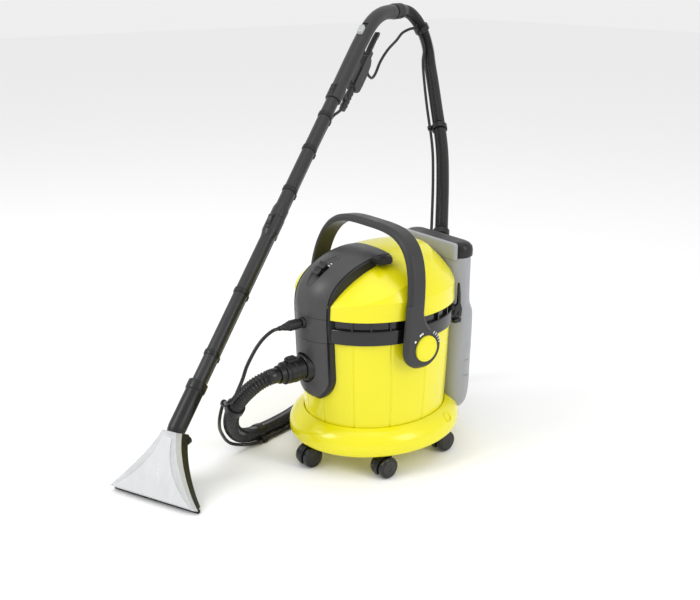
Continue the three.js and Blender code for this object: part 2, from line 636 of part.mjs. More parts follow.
const GRIP_ROUTE = [[0, 864, 764.4], [0, 900, 796.3], [0, 940, 831.7], [0, 985, 871.5], [0, 1028, 908],
  [0, 1068, 938], [0, 1108, 958], [0, 1155, 969.5], [0, 1215, 972]];
const SLIDER = { y: 1032, z: 934, lean: 37 };
function gripHandle() {
  const socket = tubeRun(WAND_AT.upper + 0.6, WAND_AT.upper + 44, 21, 15.4).rotate([-90 + WAND_TILT, 0, 0]);
  const core = tube(GRIP_ROUTE, 40, 14, 12);
  const slot = box(-7, 7, -22, 22, -3, 30).rotate([SLIDER.lean, 0, 0])
    .translate([0, SLIDER.y, SLIDER.z]);
  return socket.add(core).subtract(slot).subtract(rodY(17.4, 1196, 1240, 24).translate([0, 0, 972]));
}
put(wand, 'grip_handle', gripHandle(), HANDLE_GREY);
const slider = put(wand, 'air_slider', box(-6, 6, -20, 2, -2.4, 14), LIGHT_GREY);
slider.position.set(0, SLIDER.y, SLIDER.z);
slider.rotation.x = THREE.MathUtils.degToRad(SLIDER.lean);

function hoseCuff() {
  return rodY(16.8, 1198, 1218, 20).add(rodY(22, 1217, 1268, 24)).subtract(rodY(14, 1190, 1250, 20))
    .translate([0, 0, 972]);
}
put(wand, 'hose_cuff', hoseCuff(), BLACK);

// The spray trigger hangs under the grip, on the lower side of the wand.
const TRIGGER = { y: 60, z0: 1246, z1: 1360, barb: 1335 };
function sprayTriggerHousing() {
  const { y, z0, z1, barb } = TRIGGER;
  const body = box(-13, 13, y - 18, y + 18, z0, z1).add(rodZ(9, 1172, z0 + 5, 20).translate([0, y - 4, 0]));
  const ears = box(-13, 13, y - 14, y, z1 - 5, z1 + 18).subtract(box(-9.4, 9.4, 0, 200, z1 - 6, z1 + 30));
  const arm = box(-5, 5, 21.6, y - 4, z0 - 50, z0 - 38);
  const web = box(-8, 8, 21.6, y - 17, z0 + 4, z1 - 46);
  const nipple = rodY(5, y + 15, y + 30, 16).translate([0, 0, barb]);
  return body.add(ears).add(arm).add(web).add(nipple);
}
put(axis, 'spray_trigger', sprayTriggerHousing(), HANDLE_GREY);
const LEVER_PIN = { y: TRIGGER.y - 7, z: TRIGGER.z1 + 10 };
const lever = box(-7, 7, -4, 4, 0, 76).add(rodX(5.5, -9, 9, 16)).add(box(-8, 8, -6, 4, 60, 80));
put(axis, 'trigger_lever', lever, BLACK).position.set(0, LEVER_PIN.y, LEVER_PIN.z);

// The spray hose lies against the suction hose. Each entry gives the side it lies on from that
// point of the suction hose's route onwards, and the side turns evenly between two entries.
const SPRAY_SIDE = [[4, [-0.75, -0.35, -0.45]], [6, [-0.5, -0.7, -0.5]], [7, [0.1, -0.9, -0.35]],
  [8, [0.75, -0.4, -0.3]], [9, [0.85, -0.1, -0.4]], [13, [0.85, 0.1, -0.4]], [15, [0.3, -0.8, -0.4]],
  [17, [-0.5, -0.8, 0]], [24, [-0.62, -0.79, 0]], [27, [0.4, -0.9, 0.1]], [29, [0.49, -0.6, -0.63]]];
const SPRAY_ASIDE = (HOSE_D + SPRAY_D) / 2 + 5;

function sprayRoute() {
  const route = [];
  for (let part = 0; part + 1 < SPRAY_SIDE.length; part += 1) {
    const [from, sideFrom] = SPRAY_SIDE[part];
    const [to, sideTo] = SPRAY_SIDE[part + 1];
    for (let i = from; i < to; i += 1) {
      const share = (i - from) / (to - from);
      const side = new THREE.Vector3(...sideFrom).lerp(new THREE.Vector3(...sideTo), share);
      const run = new THREE.Vector3(...HOSE_ROUTE[i + 1]).sub(new THREE.Vector3(...HOSE_ROUTE[i - 1])).normalize();
      side.addScaledVector(run, -side.dot(run)).setLength(SPRAY_ASIDE);
      route.push(side.add(new THREE.Vector3(...HOSE_ROUTE[i])).toArray());
    }
  }
  return route;
}

const SPRAY_START = [[-24, -376, 210], [-48, -378, 190]];
const SPRAY_END = [[-573, 618, 919], [-567, 566, 912], [-549, 523, 891], [-526, 472, 869], [-507, 429, 840],
  [-493.5, 399, 808.4], [-485.4, 380.8, 800.2], [-476.9, 361.6, 809.7], [-474.3, 355.8, 817]];
put(machine, 'spray_hose', tube([...SPRAY_START, ...sprayRoute(), ...SPRAY_END], SPRAY_D, 66, 6), RUBBER);

export default object;
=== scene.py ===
"""Looks of a tub-type spray-extraction carpet cleaner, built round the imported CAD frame.

Sizes below are in millimetres in the machine's own frame (origin on the floor under the middle of
the tub, front towards -Y) and are placed in the row frame, in metres, by the matrices MACHINE,
WAND and AXIS.
"""

import math

import bmesh
import bpy
import numpy as np
from mathutils import Matrix, Vector


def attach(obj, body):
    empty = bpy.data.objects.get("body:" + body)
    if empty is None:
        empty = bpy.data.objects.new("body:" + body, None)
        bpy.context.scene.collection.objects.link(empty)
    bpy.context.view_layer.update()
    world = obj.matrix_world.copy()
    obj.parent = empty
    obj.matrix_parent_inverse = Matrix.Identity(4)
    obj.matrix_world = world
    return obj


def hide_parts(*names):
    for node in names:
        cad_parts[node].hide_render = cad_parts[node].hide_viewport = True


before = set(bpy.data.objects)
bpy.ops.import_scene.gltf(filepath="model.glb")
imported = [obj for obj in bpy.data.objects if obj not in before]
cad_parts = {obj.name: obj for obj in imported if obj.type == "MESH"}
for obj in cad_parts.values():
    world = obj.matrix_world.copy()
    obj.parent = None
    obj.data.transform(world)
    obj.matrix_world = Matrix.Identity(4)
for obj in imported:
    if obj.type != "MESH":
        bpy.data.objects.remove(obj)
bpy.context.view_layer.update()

# ---------- driving dimensions, as in the CAD source ----------
MM = 0.001
SHIFT = (182, 53, 0)
OVAL = 1.14
REAR_FLAT = 150
RING_UNDER = 58
TUB_TOP = 316
BAND_TOP = 371
BAND_R = 168.5
DOME_R = 171
CONSOLE_HALF = 58
TRIM = 7
INLET_Z = 247
SPRAY_Z = 354
PIVOT = (0, -10, 303)
HOOP_LEAN = -5
HOOP_OUT = (188, 254)       # half width and rise of the hoop's outer line
HOOP_IN = (174, 239)
HOOP_POWER = 3.6
HOOP_FRONT = 34
HOOP_BOW = 15
LOBE_R = 45.5
LOBE_LONG = 12
WHEEL_R = 25
WHEEL_W = 14
CASTER_TRAIL = 10
CASTER_ANGLES = (-90, -26, 37, 143, 206)
CASTER_REACH = 186 * 0.872
HOSE_D = 36
SPRAY_D = 8
WAND_FOOT = (-45, -613, 0)
WAND_HEADING = 23.9
WAND_TILT = 41.5
NECK, LOWER, MIDDLE, UPPER = 200, 293, 775, 1153     # stations along the wand
LIP_Y = 64.5
LIP_HALF = 115

MACHINE = Matrix.Diagonal((MM, MM, MM, 1)) @ Matrix.Translation(SHIFT)
WAND = MACHINE @ Matrix.Translation(WAND_FOOT) @ Matrix.Rotation(math.radians(WAND_HEADING), 4, "Z")
AXIS = WAND @ Matrix.Rotation(math.radians(WAND_TILT - 90), 4, "X")   # +Z up the tubes, -Y upper side
ALONG_Y = Matrix.Rotation(math.radians(-90), 4, "X")      # a turned profile's z then runs along +Y
HOOP = MACHINE @ Matrix.Translation(PIVOT) @ Matrix.Rotation(math.radians(HOOP_LEAN), 4, "X")


# ---------- shapes ----------
class Shape:
    """Closed shells gathered into one mesh, in millimetres."""

    def __init__(self):
        self.verts = []
        self.faces = []

    def add(self, verts, faces, place=None):
        base = len(self.verts)
        for v in verts:
            self.verts.append(tuple(place @ Vector(v)) if place else tuple(v))
        self.faces += [tuple(base + i for i in face) for face in faces]
        return self

    def loft(self, sections, ends=True, loop=False, place=None):
        """Skins closed sections with equal numbers of points; ends=True closes both ends flat."""
        count = len(sections[0])
        verts = [p for section in sections for p in section]
        rows = len(sections)
        faces = []
        for s in range(rows if loop else rows - 1):
            t = (s + 1) % rows
            for i in range(count):
                j = (i + 1) % count
                faces.append((s * count + i, s * count + j, t * count + j, t * count + i))
        if ends and not loop:
            faces.append(tuple(reversed(range(count))))
            faces.append(tuple((rows - 1) * count + i for i in range(count)))
        return self.add(verts, faces, place)

    def turned(self, profile, sides=64, oval=1.0, place=None, loop=True):
        """A body about Z from [radius, z] points, running up its outside. loop=True joins the last
        point to the first, which makes a ring; otherwise the profile starts and ends on the axis."""
        sections = []
        for r, z in profile:
            r = max(r, 0.01)
            sections.append([(r * math.cos(a), r * oval * math.sin(a), z) for a in turns(sides)])
        return self.loft(sections, ends=not loop, loop=loop, place=place)

    def rod(self, axis, radius, start, end, sides=32, end_radius=None, place=None):
        end_radius = radius if end_radius is None else end_radius
        sections = []
        for along, r in ((start, radius), (end, end_radius)):
            ring = []
            for a in turns(sides):
                u, v = r * math.cos(a), r * math.sin(a)
                ring.append({"X": (along, u, v), "Y": (v, along, u), "Z": (u, v, along)}[axis])
            sections.append(ring)
        return self.loft(sections, place=place)

    def box(self, x0, x1, y0, y1, z0, z1, place=None):
        low = [(x0, y0, z0), (x1, y0, z0), (x1, y1, z0), (x0, y1, z0)]
        return self.loft([low, [(x, y, z1) for x, y, _ in low]], place=place)

    def plate(self, outline, axis, start, end, place=None):
        """A flat outline of [a, b] points pushed from start to end along an axis."""
        sections = []
        for along in (start, end):
            sections.append([{"X": (along, a, b), "Y": (a, along, b), "Z": (a, b, along)}[axis]
                             for a, b in outline])
        return self.loft(sections, place=place)


def turns(sides):
    return [2 * math.pi * i / sides for i in range(sides)]


def spline(points, per_span=10, closed=False):
    """Centripetal Catmull-Rom curve through the points, as a dense list."""
    pts = [np.array(p, float) for p in points]
    if closed:
        pts = [pts[-1], *pts, pts[0], pts[1]]
    else:
        pts = [2 * pts[0] - pts[1], *pts, 2 * pts[-1] - pts[-2]]
    out = []
    for a, b, c, d in zip(pts, pts[1:], pts[2:], pts[3:]):
        s0, s1, s2 = (max(np.linalg.norm(q - p), 1e-6) ** 0.5 for p, q in ((a, b), (b, c), (c, d)))
        t1 = ((b - a) / s0 - (c - a) / (s0 + s1) + (c - b) / s1) * s1
        t2 = ((c - b) / s1 - (d - b) / (s1 + s2) + (d - c) / s2) * s1
        for k in range(per_span):
            u = k / per_span
            out.append(b + t1 * u + (-3 * b + 3 * c - 2 * t1 - t2) * u * u
                       + (2 * b - 2 * c + t1 + t2) * u ** 3)
    if not closed:
        out.append(pts[-2])
    return out


def spaced(line, step):
    """The same line with points an even step apart, from its first point to its last."""
    line = np.array(line, float)
    run = np.concatenate([[0], np.cumsum(np.linalg.norm(np.diff(line, axis=0), axis=1))])
    count = max(2, round(run[-1] / step))
    at = np.linspace(0, run[-1], count + 1)
    return np.stack([np.interp(at, run, line[:, k]) for k in range(3)], 1)


def frames(line):
    """Directions and two cross axes along a line, carried along without twist."""
    ahead = np.gradient(line, axis=0)
    ahead /= np.linalg.norm(ahead, axis=1)[:, None]
    side = np.cross(ahead[0], (0, 0, 1.0))
    if np.linalg.norm(side) < 0.1:
        side = np.cross(ahead[0], (1.0, 0, 0))
    sides = []
    for direction in ahead:
        side = side - direction * side.dot(direction)
        side = side / np.linalg.norm(side)
        sides.append(side)
    sides = np.array(sides)
    return ahead, sides, np.cross(ahead, sides)


def sweep(line, radii, sides=20):
    """Sections of a round tube whose radius is given at each point of the line."""
    _, u, v = frames(np.array(line, float))
    sections = []
    for p, r, a, b in zip(line, radii, u, v):
        sections.append([tuple(p + r * (math.cos(t) * a + math.sin(t) * b)) for t in turns(sides)])
    return sections


def rounded_plan(half, y0, y1, radius, z, per_corner=9):
    points = []
    for cx, cy, start in ((half - radius, y0 + radius, -90), (half - radius, y1 - radius, 0),
                          (radius - half, y1 - radius, 90), (radius - half, y0 + radius, 180)):
        for i in range(per_corner):
            a = math.radians(start + 90 * i / (per_corner - 1))
            points.append((cx + radius * math.cos(a), cy + radius * math.sin(a), z))
    return points


def plan(radius, z, flat=REAR_FLAT, sides=240, dent=None):
    """The machine's plan: an oval cut by a flat at the back, with soft corners between them.
    dent(angle) takes something off the radius."""
    points = []
    for a in turns(sides):
        c, s = math.cos(a), math.sin(a)
        reach = radius / math.sqrt(c * c + (s / OVAL) ** 2)
        if dent:
            reach -= dent(math.atan2(s / OVAL, c))
        if s > 0.05:
            wall = flat / s
            reach = (reach ** -24 + wall ** -24) ** (-1 / 24)
        points.append((reach * c, reach * s, z))
    return points


# ---------- turning shapes into pieces ----------
def link(name, mesh):
    obj = bpy.data.objects.new(name, mesh)
    bpy.context.scene.collection.objects.link(obj)
    return obj


def shade(mesh, angle):
    """Smooth faces with the edges sharper than the angle kept sharp."""
    bm = bmesh.new()
    bm.from_mesh(mesh)
    bmesh.ops.remove_doubles(bm, verts=bm.verts, dist=1e-7)
    bmesh.ops.recalc_face_normals(bm, faces=bm.faces)
    for face in bm.faces:
        face.smooth = True
    for edge in bm.edges:
        if len(edge.link_faces) == 2:
            edge.smooth = edge.calc_face_angle(0) < math.radians(angle)
    bm.to_mesh(mesh)
    bm.free()


def solid(name, shape, place=MACHINE):
    mesh = bpy.data.meshes.new(name)
    mesh.from_pydata([tuple(place @ Vector(v)) for v in shape.verts], [], shape.faces)
    mesh.update()
    shade(mesh, 40)
    return link(name, mesh)


def applied(obj):
    """Makes the modified mesh the object's own."""
    bpy.context.view_layer.update()
    graph = bpy.context.evaluated_depsgraph_get()
    mesh = bpy.data.meshes.new_from_object(obj.evaluated_get(graph))
    obj.modifiers.clear()
    obj.data = mesh
    return obj


def combine(obj, other, operation):
    """Cuts, joins or keeps what obj shares with the other shape, which is then removed."""
    modifier = obj.modifiers.new(operation.lower(), "BOOLEAN")
    modifier.object = other
    modifier.operation = operation
    modifier.solver = "EXACT"
    applied(obj)
    bpy.data.objects.remove(other)
    return obj


def cut(obj, shape, place=MACHINE):
    return combine(obj, solid("cutter", shape, place), "DIFFERENCE")


def keep(obj, shape, place=MACHINE):
    return combine(obj, solid("keeper", shape, place), "INTERSECT")


def join(obj, shape, place=MACHINE):
    return combine(obj, solid("adder", shape, place), "UNION")


def done(obj, body, material, slot, replaces=(), edge=0.0, angle=30, segments=3):
    """Rounds the edges by edge millimetres, smooths, paints and hangs the piece on its body."""
    if edge:
        bevel = obj.modifiers.new("edges", "BEVEL")
        bevel.width = edge * MM
        bevel.segments = segments
        bevel.limit_method = "ANGLE"
        bevel.angle_limit = math.radians(angle)
        bevel.harden_normals = False
        bevel.miter_outer = "MITER_ARC"
        applied(obj)
    shade(obj.data, 38)
    if edge:
        normals = obj.modifiers.new("normals", "WEIGHTED_NORMAL")
        normals.keep_sharp = True
        normals.weight = 60
    obj.data.materials.clear()
    obj.data.materials.append(material)
    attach(obj, body)
    if replaces:
        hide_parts(*replaces)
    return obj


def piece(name, shape, body, material, slot, place=MACHINE, **more):
    return done(solid(name, shape, place), body, material, slot, **more)


# ---------- materials ----------
def new_material(name):
    material = bpy.data.materials.new(name)
    material.use_nodes = True
    nodes = material.node_tree.nodes
    return material, nodes, material.node_tree.links, nodes["Principled BSDF"]


def noise(nodes, links, where, scale, detail=3.0, rough=0.55):
    node = nodes.new("ShaderNodeTexNoise")
    node.inputs["Scale"].default_value = scale
    node.inputs["Detail"].default_value = detail
    node.inputs["Roughness"].default_value = rough
    links.new(where, node.inputs["Vector"])
    return node.outputs["Fac"]


def ramp(nodes, links, value, low, high, out_low, out_high):
    node = nodes.new("ShaderNodeMapRange")
    node.inputs["From Min"].default_value = low
    node.inputs["From Max"].default_value = high
    node.inputs["To Min"].default_value = out_low
    node.inputs["To Max"].default_value = out_high
    links.new(value, node.inputs["Value"])
    return node.outputs["Result"]


def moulded(name, color, rough, grain_scale, grain, tint=0.06, coat=0.0, edge_highlight_and_wear=0.0, smear=0.06):
    """Moulded plastic: fine surface grain, slow drift of tone and gloss, and lighter edges, partly wear and
    partly a painted highlight.
    """
    material, nodes, links, shader = new_material(name)
    where = nodes.new("ShaderNodeTexCoord").outputs["Object"]
    slow = noise(nodes, links, where, 7.0)
    fine = noise(nodes, links, where, grain_scale, 2.0)
    smudge = noise(nodes, links, where, 38.0, 5.0, 0.65)
    tone = nodes.new("ShaderNodeMix")
    tone.data_type = "RGBA"
    tone.inputs["A"].default_value = (*[c * (1 - tint) for c in color], 1)
    tone.inputs["B"].default_value = (*[min(1, c * (1 + tint)) for c in color], 1)
    links.new(slow, tone.inputs["Factor"])
    shown = tone.outputs["Result"]
    # Pointiness lightens the sharp edges: partly edge wear, partly a painted highlight standing in for light
    # caught on the edges.
    if edge_highlight_and_wear:
        edge = nodes.new("ShaderNodeNewGeometry").outputs["Pointiness"]
        sharp = ramp(nodes, links, edge, 0.52, 0.60, 0.0, edge_highlight_and_wear)
        highlight_and_wear_mix = nodes.new("ShaderNodeMix")
        highlight_and_wear_mix.data_type = "RGBA"
        highlight_and_wear_mix.inputs["B"].default_value = (*[min(1, c * 1.6 + 0.03) for c in color], 1)
        links.new(sharp, highlight_and_wear_mix.inputs["Factor"])
        links.new(shown, highlight_and_wear_mix.inputs["A"])
        shown = highlight_and_wear_mix.outputs["Result"]
    links.new(shown, shader.inputs["Base Color"])
    links.new(ramp(nodes, links, smudge, 0.3, 0.7, rough - smear, rough + smear), shader.inputs["Roughness"])
    bump = nodes.new("ShaderNodeBump")
    bump.inputs["Strength"].default_value = grain
    bump.inputs["Distance"].default_value = 0.0004
    links.new(fine, bump.inputs["Height"])
    links.new(bump.outputs["Normal"], shader.inputs["Normal"])
    shader.inputs["Specular IOR Level"].default_value = 0.4
    shader.inputs["Coat Weight"].default_value = coat
    shader.inputs["Coat Roughness"].default_value = 0.12
    return material


def see_through(name, color, rough, transmission, grain=0.08):
    """Clear or smoky moulding with faint flow streaks."""
    material, nodes, links, shader = new_material(name)
    where = nodes.new("ShaderNodeTexCoord").outputs["Object"]
    stretch = nodes.new("ShaderNodeMapping")
    stretch.inputs["Scale"].default_value = (60, 60, 6)
    links.new(where, stretch.inputs["Vector"])
    streak = noise(nodes, links, stretch.outputs["Vector"], 1.0, 4.0)
    tone = nodes.new("ShaderNodeMix")
    tone.data_type = "RGBA"
    tone.inputs["A"].default_value = (*[c * 0.9 for c in color], 1)
    tone.inputs["B"].default_value = (*[min(1, c * 1.06) for c in color], 1)
    links.new(streak, tone.inputs["Factor"])
    links.new(tone.outputs["Result"], shader.inputs["Base Color"])
    links.new(ramp(nodes, links, streak, 0.3, 0.7, rough, rough + 0.1), shader.inputs["Roughness"])
    bump = nodes.new("ShaderNodeBump")
    bump.inputs["Strength"].default_value = grain
    bump.inputs["Distance"].default_value = 0.0006
    links.new(streak, bump.inputs["Height"])
    links.new(bump.outputs["Normal"], shader.inputs["Normal"])
    shader.inputs["Transmission Weight"].default_value = transmission
    shader.inputs["IOR"].default_value = 1.3
    return material


YELLOW = moulded("yellow_gloss", (0.80, 0.735, 0.004), 0.26, 900, 0.02, tint=0.008, coat=0.35, smear=0.012)
# The wear setting lightens sharp edges, partly as wear and partly as a painted highlight.
CONSOLE = moulded("console_satin", (0.050, 0.050, 0.052), 0.40, 900, 0.35, edge_highlight_and_wear=0.12)
HANDLE = moulded("handle_satin", (0.026, 0.026, 0.028), 0.40, 900, 0.35, edge_highlight_and_wear=0.15)
BLACK = moulded("black_satin", (0.006, 0.006, 0.0065), 0.36, 800, 0.3, edge_highlight_and_wear=0.12)
GLOSS_BLACK = moulded("black_gloss", (0.005, 0.005, 0.0055), 0.20, 500, 0.1, coat=0.3)
TUBE = moulded("tube_satin", (0.022, 0.022, 0.024), 0.34, 700, 0.22, edge_highlight_and_wear=0.1)
HOSE = moulded("hose_plastic", (0.008, 0.008, 0.0085), 0.24, 600, 0.12)
RUBBER = moulded("rubber_matt", (0.012, 0.012, 0.012), 0.7, 700, 0.5)
LIGHT = moulded("light_grey", (0.5, 0.51, 0.52), 0.4, 800, 0.25)
MARK = moulded("mark_white", (0.85, 0.85, 0.85), 0.5, 800, 0.1)
STEEL = moulded("motor_steel", (0.45, 0.45, 0.46), 0.32, 500, 0.2)
STEEL.node_tree.nodes["Principled BSDF"].inputs["Metallic"].default_value = 1.0
TANK = see_through("tank_smoky", (0.42, 0.43, 0.45), 0.30, 0.22)
PANEL = see_through("nozzle_panel", (0.70, 0.71, 0.72), 0.18, 0.15, grain=0.02)
CLEAR = see_through("nozzle_clear", (0.86, 0.87, 0.88), 0.10, 0.45, grain=0.03)


# ---------- camera ----------
EYE = Vector((1.8297, -1.3092, 1.0981))
AZIMUTH, ELEVATION = math.radians(52), math.radians(19)
camera = bpy.data.objects.new("camera", bpy.data.cameras.new("camera"))
bpy.context.scene.collection.objects.link(camera)
camera.data.sensor_width = 36
camera.data.lens = 50.14
camera.data.clip_end = 40
back = Vector((math.sin(AZIMUTH) * math.cos(ELEVATION), -math.cos(AZIMUTH) * math.cos(ELEVATION),
               math.sin(ELEVATION)))
camera.location = EYE
camera.rotation_mode = "QUATERNION"
camera.rotation_quaternion = (-back).to_track_quat("-Z", "Y")
bpy.context.scene.camera = camera

# ---------- hoses ----------
HOSE_ROUTE = [
    (0, -275.8, 247), (0, -297, 247), (-12, -324, 233), (-34, -344, 204), (-60, -352, 168),
    (-92, -344, 125), (-127, -321, 80), (-155, -287, 43), (-174, -248, 24), (-188, -190, 18.6),
    (-205, -120, 18.6), (-232, -45, 18.6), (-252, 40, 18.6), (-258, 130, 18.6), (-245, 215, 19),
    (-214, 282, 30), (-178, 322, 62), (-152, 340, 112), (-141, 345, 180), (-148, 347, 260),
    (-180, 372, 345), (-234, 425, 428), (-309, 495, 531), (-375, 550, 606), (-467, 609, 709),
    (-513, 637, 764), (-556, 661, 820), (-574, 669, 860), (-584, 660, 902), (-586, 636, 938),
    (-579, 600, 963), (-565, 560.2, 972), (-558.9, 546.7, 972)]
LEAD_ROUTE = [
    (0, -270.8, 354), (0, -285, 353), (-4, -304, 341), (-5, -322, 325), (-5, -338, 305),
    (-5, -352, 283), (-6, -362, 258), (-12, -369, 236), (-22, -374, 214)]
SPRAY_START = [(-48, -378, 190)]
SPRAY_SIDE = [
    (4, (-0.75, -0.35, -0.45)), (6, (-0.5, -0.7, -0.5)), (7, (0.1, -0.9, -0.35)), (8, (0.75, -0.4, -0.3)),
    (9, (0.85, -0.1, -0.4)), (13, (0.85, 0.1, -0.4)), (15, (0.3, -0.8, -0.4)), (17, (-0.5, -0.8, 0)),
    (24, (-0.62, -0.79, 0)), (27, (0.4, -0.9, 0.1)), (29, (0.49, -0.6, -0.63))]
SPRAY_END = [
    (-573, 618, 919), (-567, 566, 912), (-549, 523, 891), (-526, 472, 869), (-507, 429, 840),
    (-493.5, 399, 808.4), (-485.4, 380.8, 800.2), (-476.9, 361.6, 809.7), (-474.3, 355.8, 817)]
SPRAY_ASIDE = (HOSE_D + SPRAY_D) / 2 + 5


def spray_route():
    """The spray hose beside the suction hose, on a side that turns evenly between the entries."""
    route = []
    for (start, side_a), (end, side_b) in zip(SPRAY_SIDE, SPRAY_SIDE[1:]):
        for i in range(start, end):
            side = Vector(side_a).lerp(Vector(side_b), (i - start) / (end - start))
            run = (Vector(HOSE_ROUTE[i + 1]) - Vector(HOSE_ROUTE[i - 1])).normalized()
            side -= run * side.dot(run)
            route.append(tuple(side.normalized() * SPRAY_ASIDE + Vector(HOSE_ROUTE[i])))
    return route


RIB = 6.6          # pitch of the suction hose's ribs
HOSE_LINE = spaced(spline(HOSE_ROUTE, 14), RIB / 4)
rib_radius = [18.0, 17.8, 15.7, 16.0]
hose_radii = [rib_radius[i % 4] if 14 < i < len(HOSE_LINE) - 14 else 17.4 for i in range(len(HOSE_LINE))]
hose = piece("suction_hose_ribbed", Shape().loft(sweep(HOSE_LINE, hose_radii, 22)), "root", HOSE, "hose",
             replaces=["suction_hose"])

SPRAY_LINE = spaced(spline([*LEAD_ROUTE, *SPRAY_START, *spray_route(), *SPRAY_END], 12), 5)
spray_skin = Shape().loft(sweep(SPRAY_LINE, [SPRAY_D / 2] * len(SPRAY_LINE), 12))
spray = piece("spray_hose_line", spray_skin, "root", HOSE, "hose",
              replaces=["spray_hose", "spray_hose_lead"])


def ring_at(line, index, length, radius, inner, sides=32, extra=0.0):
    """A short sleeve round a line at one of its points."""
    ahead, u, v = frames(line)
    at, d, a, b = line[index], ahead[index], u[index], v[index]
    shape = Shape()
    sections = []
    for along, r in ((-length / 2, radius - 1), (-length / 2 + 1.2, radius + extra), (0, radius + extra),
                     (length / 2 - 1.2, radius + extra), (length / 2, radius - 1),
                     (length / 2, inner), (-length / 2, inner)):
        centre = at + d * along
        sections.append([tuple(centre + r * (math.cos(t) * a + math.sin(t) * b)) for t in turns(sides)])
    return shape.loft(sections, loop=True)


def nearest(line, point):
    return int(np.argmin(np.linalg.norm(np.array(line) - np.array(point, float), axis=1)))


def between(i, share):
    a, b = np.array(HOSE_ROUTE[i], float), np.array(HOSE_ROUTE[i + 1], float)
    return a + (b - a) * share


# Each clip's place: the route point before it, and how far on towards the next one.
CLIPS = [(4, 0.0), (8, 0.5), (13, 0.2), (20, 0.75), (23, 0.45), (28, 0.4)]
for number, (span, share) in enumerate(CLIPS, 1):
    at = nearest(HOSE_LINE, between(span, share))
    reach = min(22.4, HOSE_LINE[at][2] - 0.1)          # never through the floor
    clip = ring_at(HOSE_LINE, at, 17, reach, 15.5)
    beside = nearest(SPRAY_LINE, HOSE_LINE[at])
    loop = ring_at(SPRAY_LINE, beside, 12, 7.2, 3.8, 20)
    clip.add(loop.verts, loop.faces)
    middle = (HOSE_LINE[at] + SPRAY_LINE[beside]) / 2
    across = Vector(SPRAY_LINE[beside] - HOSE_LINE[at]).normalized()
    ahead = frames(HOSE_LINE)[0][at]
    ahead = (Vector(ahead) - across * Vector(ahead).dot(across)).normalized()
    third = across.cross(ahead)
    bridge = Matrix((across, ahead, third)).transposed().to_4x4()
    bridge.translation = Vector(HOSE_LINE[at])
    clip.box(18.2, 23.5, -5, 5, -4.5, 4.5, place=bridge)
    piece(f"hose_clip_{number}", clip, "root", BLACK, "black", edge=0.5)

# ---------- base ring and casters ----------
ring = Shape().turned([
    (0, 58), (170, 58), (173, 55.5), (181, 55.5), (184.5, 59), (186, 66), (186.2, 74), (185.2, 84),
    (182.5, 91.5), (178, 98.5), (172, 104.8), (165.5, 109.6), (160, 112.6), (156.5, 114.4), (154.6, 113.6),
    (154.6, 110), (160, 106), (168, 100), (176, 90), (180, 80), (181, 66), (178, 62.2), (0, 62.2)],
    sides=200, oval=OVAL, loop=False)
ring_obj = solid("base_ring_skirt", ring)


def tank_space(grow):
    return [rounded_plan(84 + grow, 152 - grow, 196 + grow, 18, 69.6 - grow),
            rounded_plan(101 + grow, 152 - grow, 211 + grow, 28, 78),
            rounded_plan(110 + grow, 152 - grow, 219 + grow, 33, 100),
            rounded_plan(114 + grow, 152 - grow, 222 + grow, 34, 200),
            rounded_plan(115 + grow, 152 - grow, 223 + grow, 35, 316),
            rounded_plan(113 + grow, 152 - grow, 223 + grow, 35, 324),
            rounded_plan(106 + grow, 152 - grow, 223 + grow, 35, 336),
            rounded_plan(104 + grow, 152 - grow, 223 + grow, 35, 345),
            rounded_plan(103 + grow, 152 - grow, 223 + grow, 35, 453 + grow)]


cut(ring_obj, Shape().loft(tank_space(1.0)))
done(ring_obj, "root", YELLOW, "yellow", replaces=["base_ring"], edge=1.2, angle=35)

LUG_R, LUG_Z = 178.5, 98.3
LUG_ANGLE = math.radians(26)
lug_at = (LUG_R * math.cos(LUG_ANGLE), LUG_R * OVAL * math.sin(LUG_ANGLE), LUG_Z)
lug = Shape().turned([(10.4, -1.5), (12.4, -1.5), (12.4, 0.9), (10.4, 0.9)], 40)
piece("base_ring_lug", lug, "root", YELLOW, "yellow", edge=0.4,
      place=MACHINE @ Matrix.Translation(lug_at)
      @ Matrix.Rotation(math.atan2(math.sin(LUG_ANGLE), OVAL * math.cos(LUG_ANGLE)), 4, "Z")
      @ Matrix.Rotation(math.radians(48), 4, "Y"))

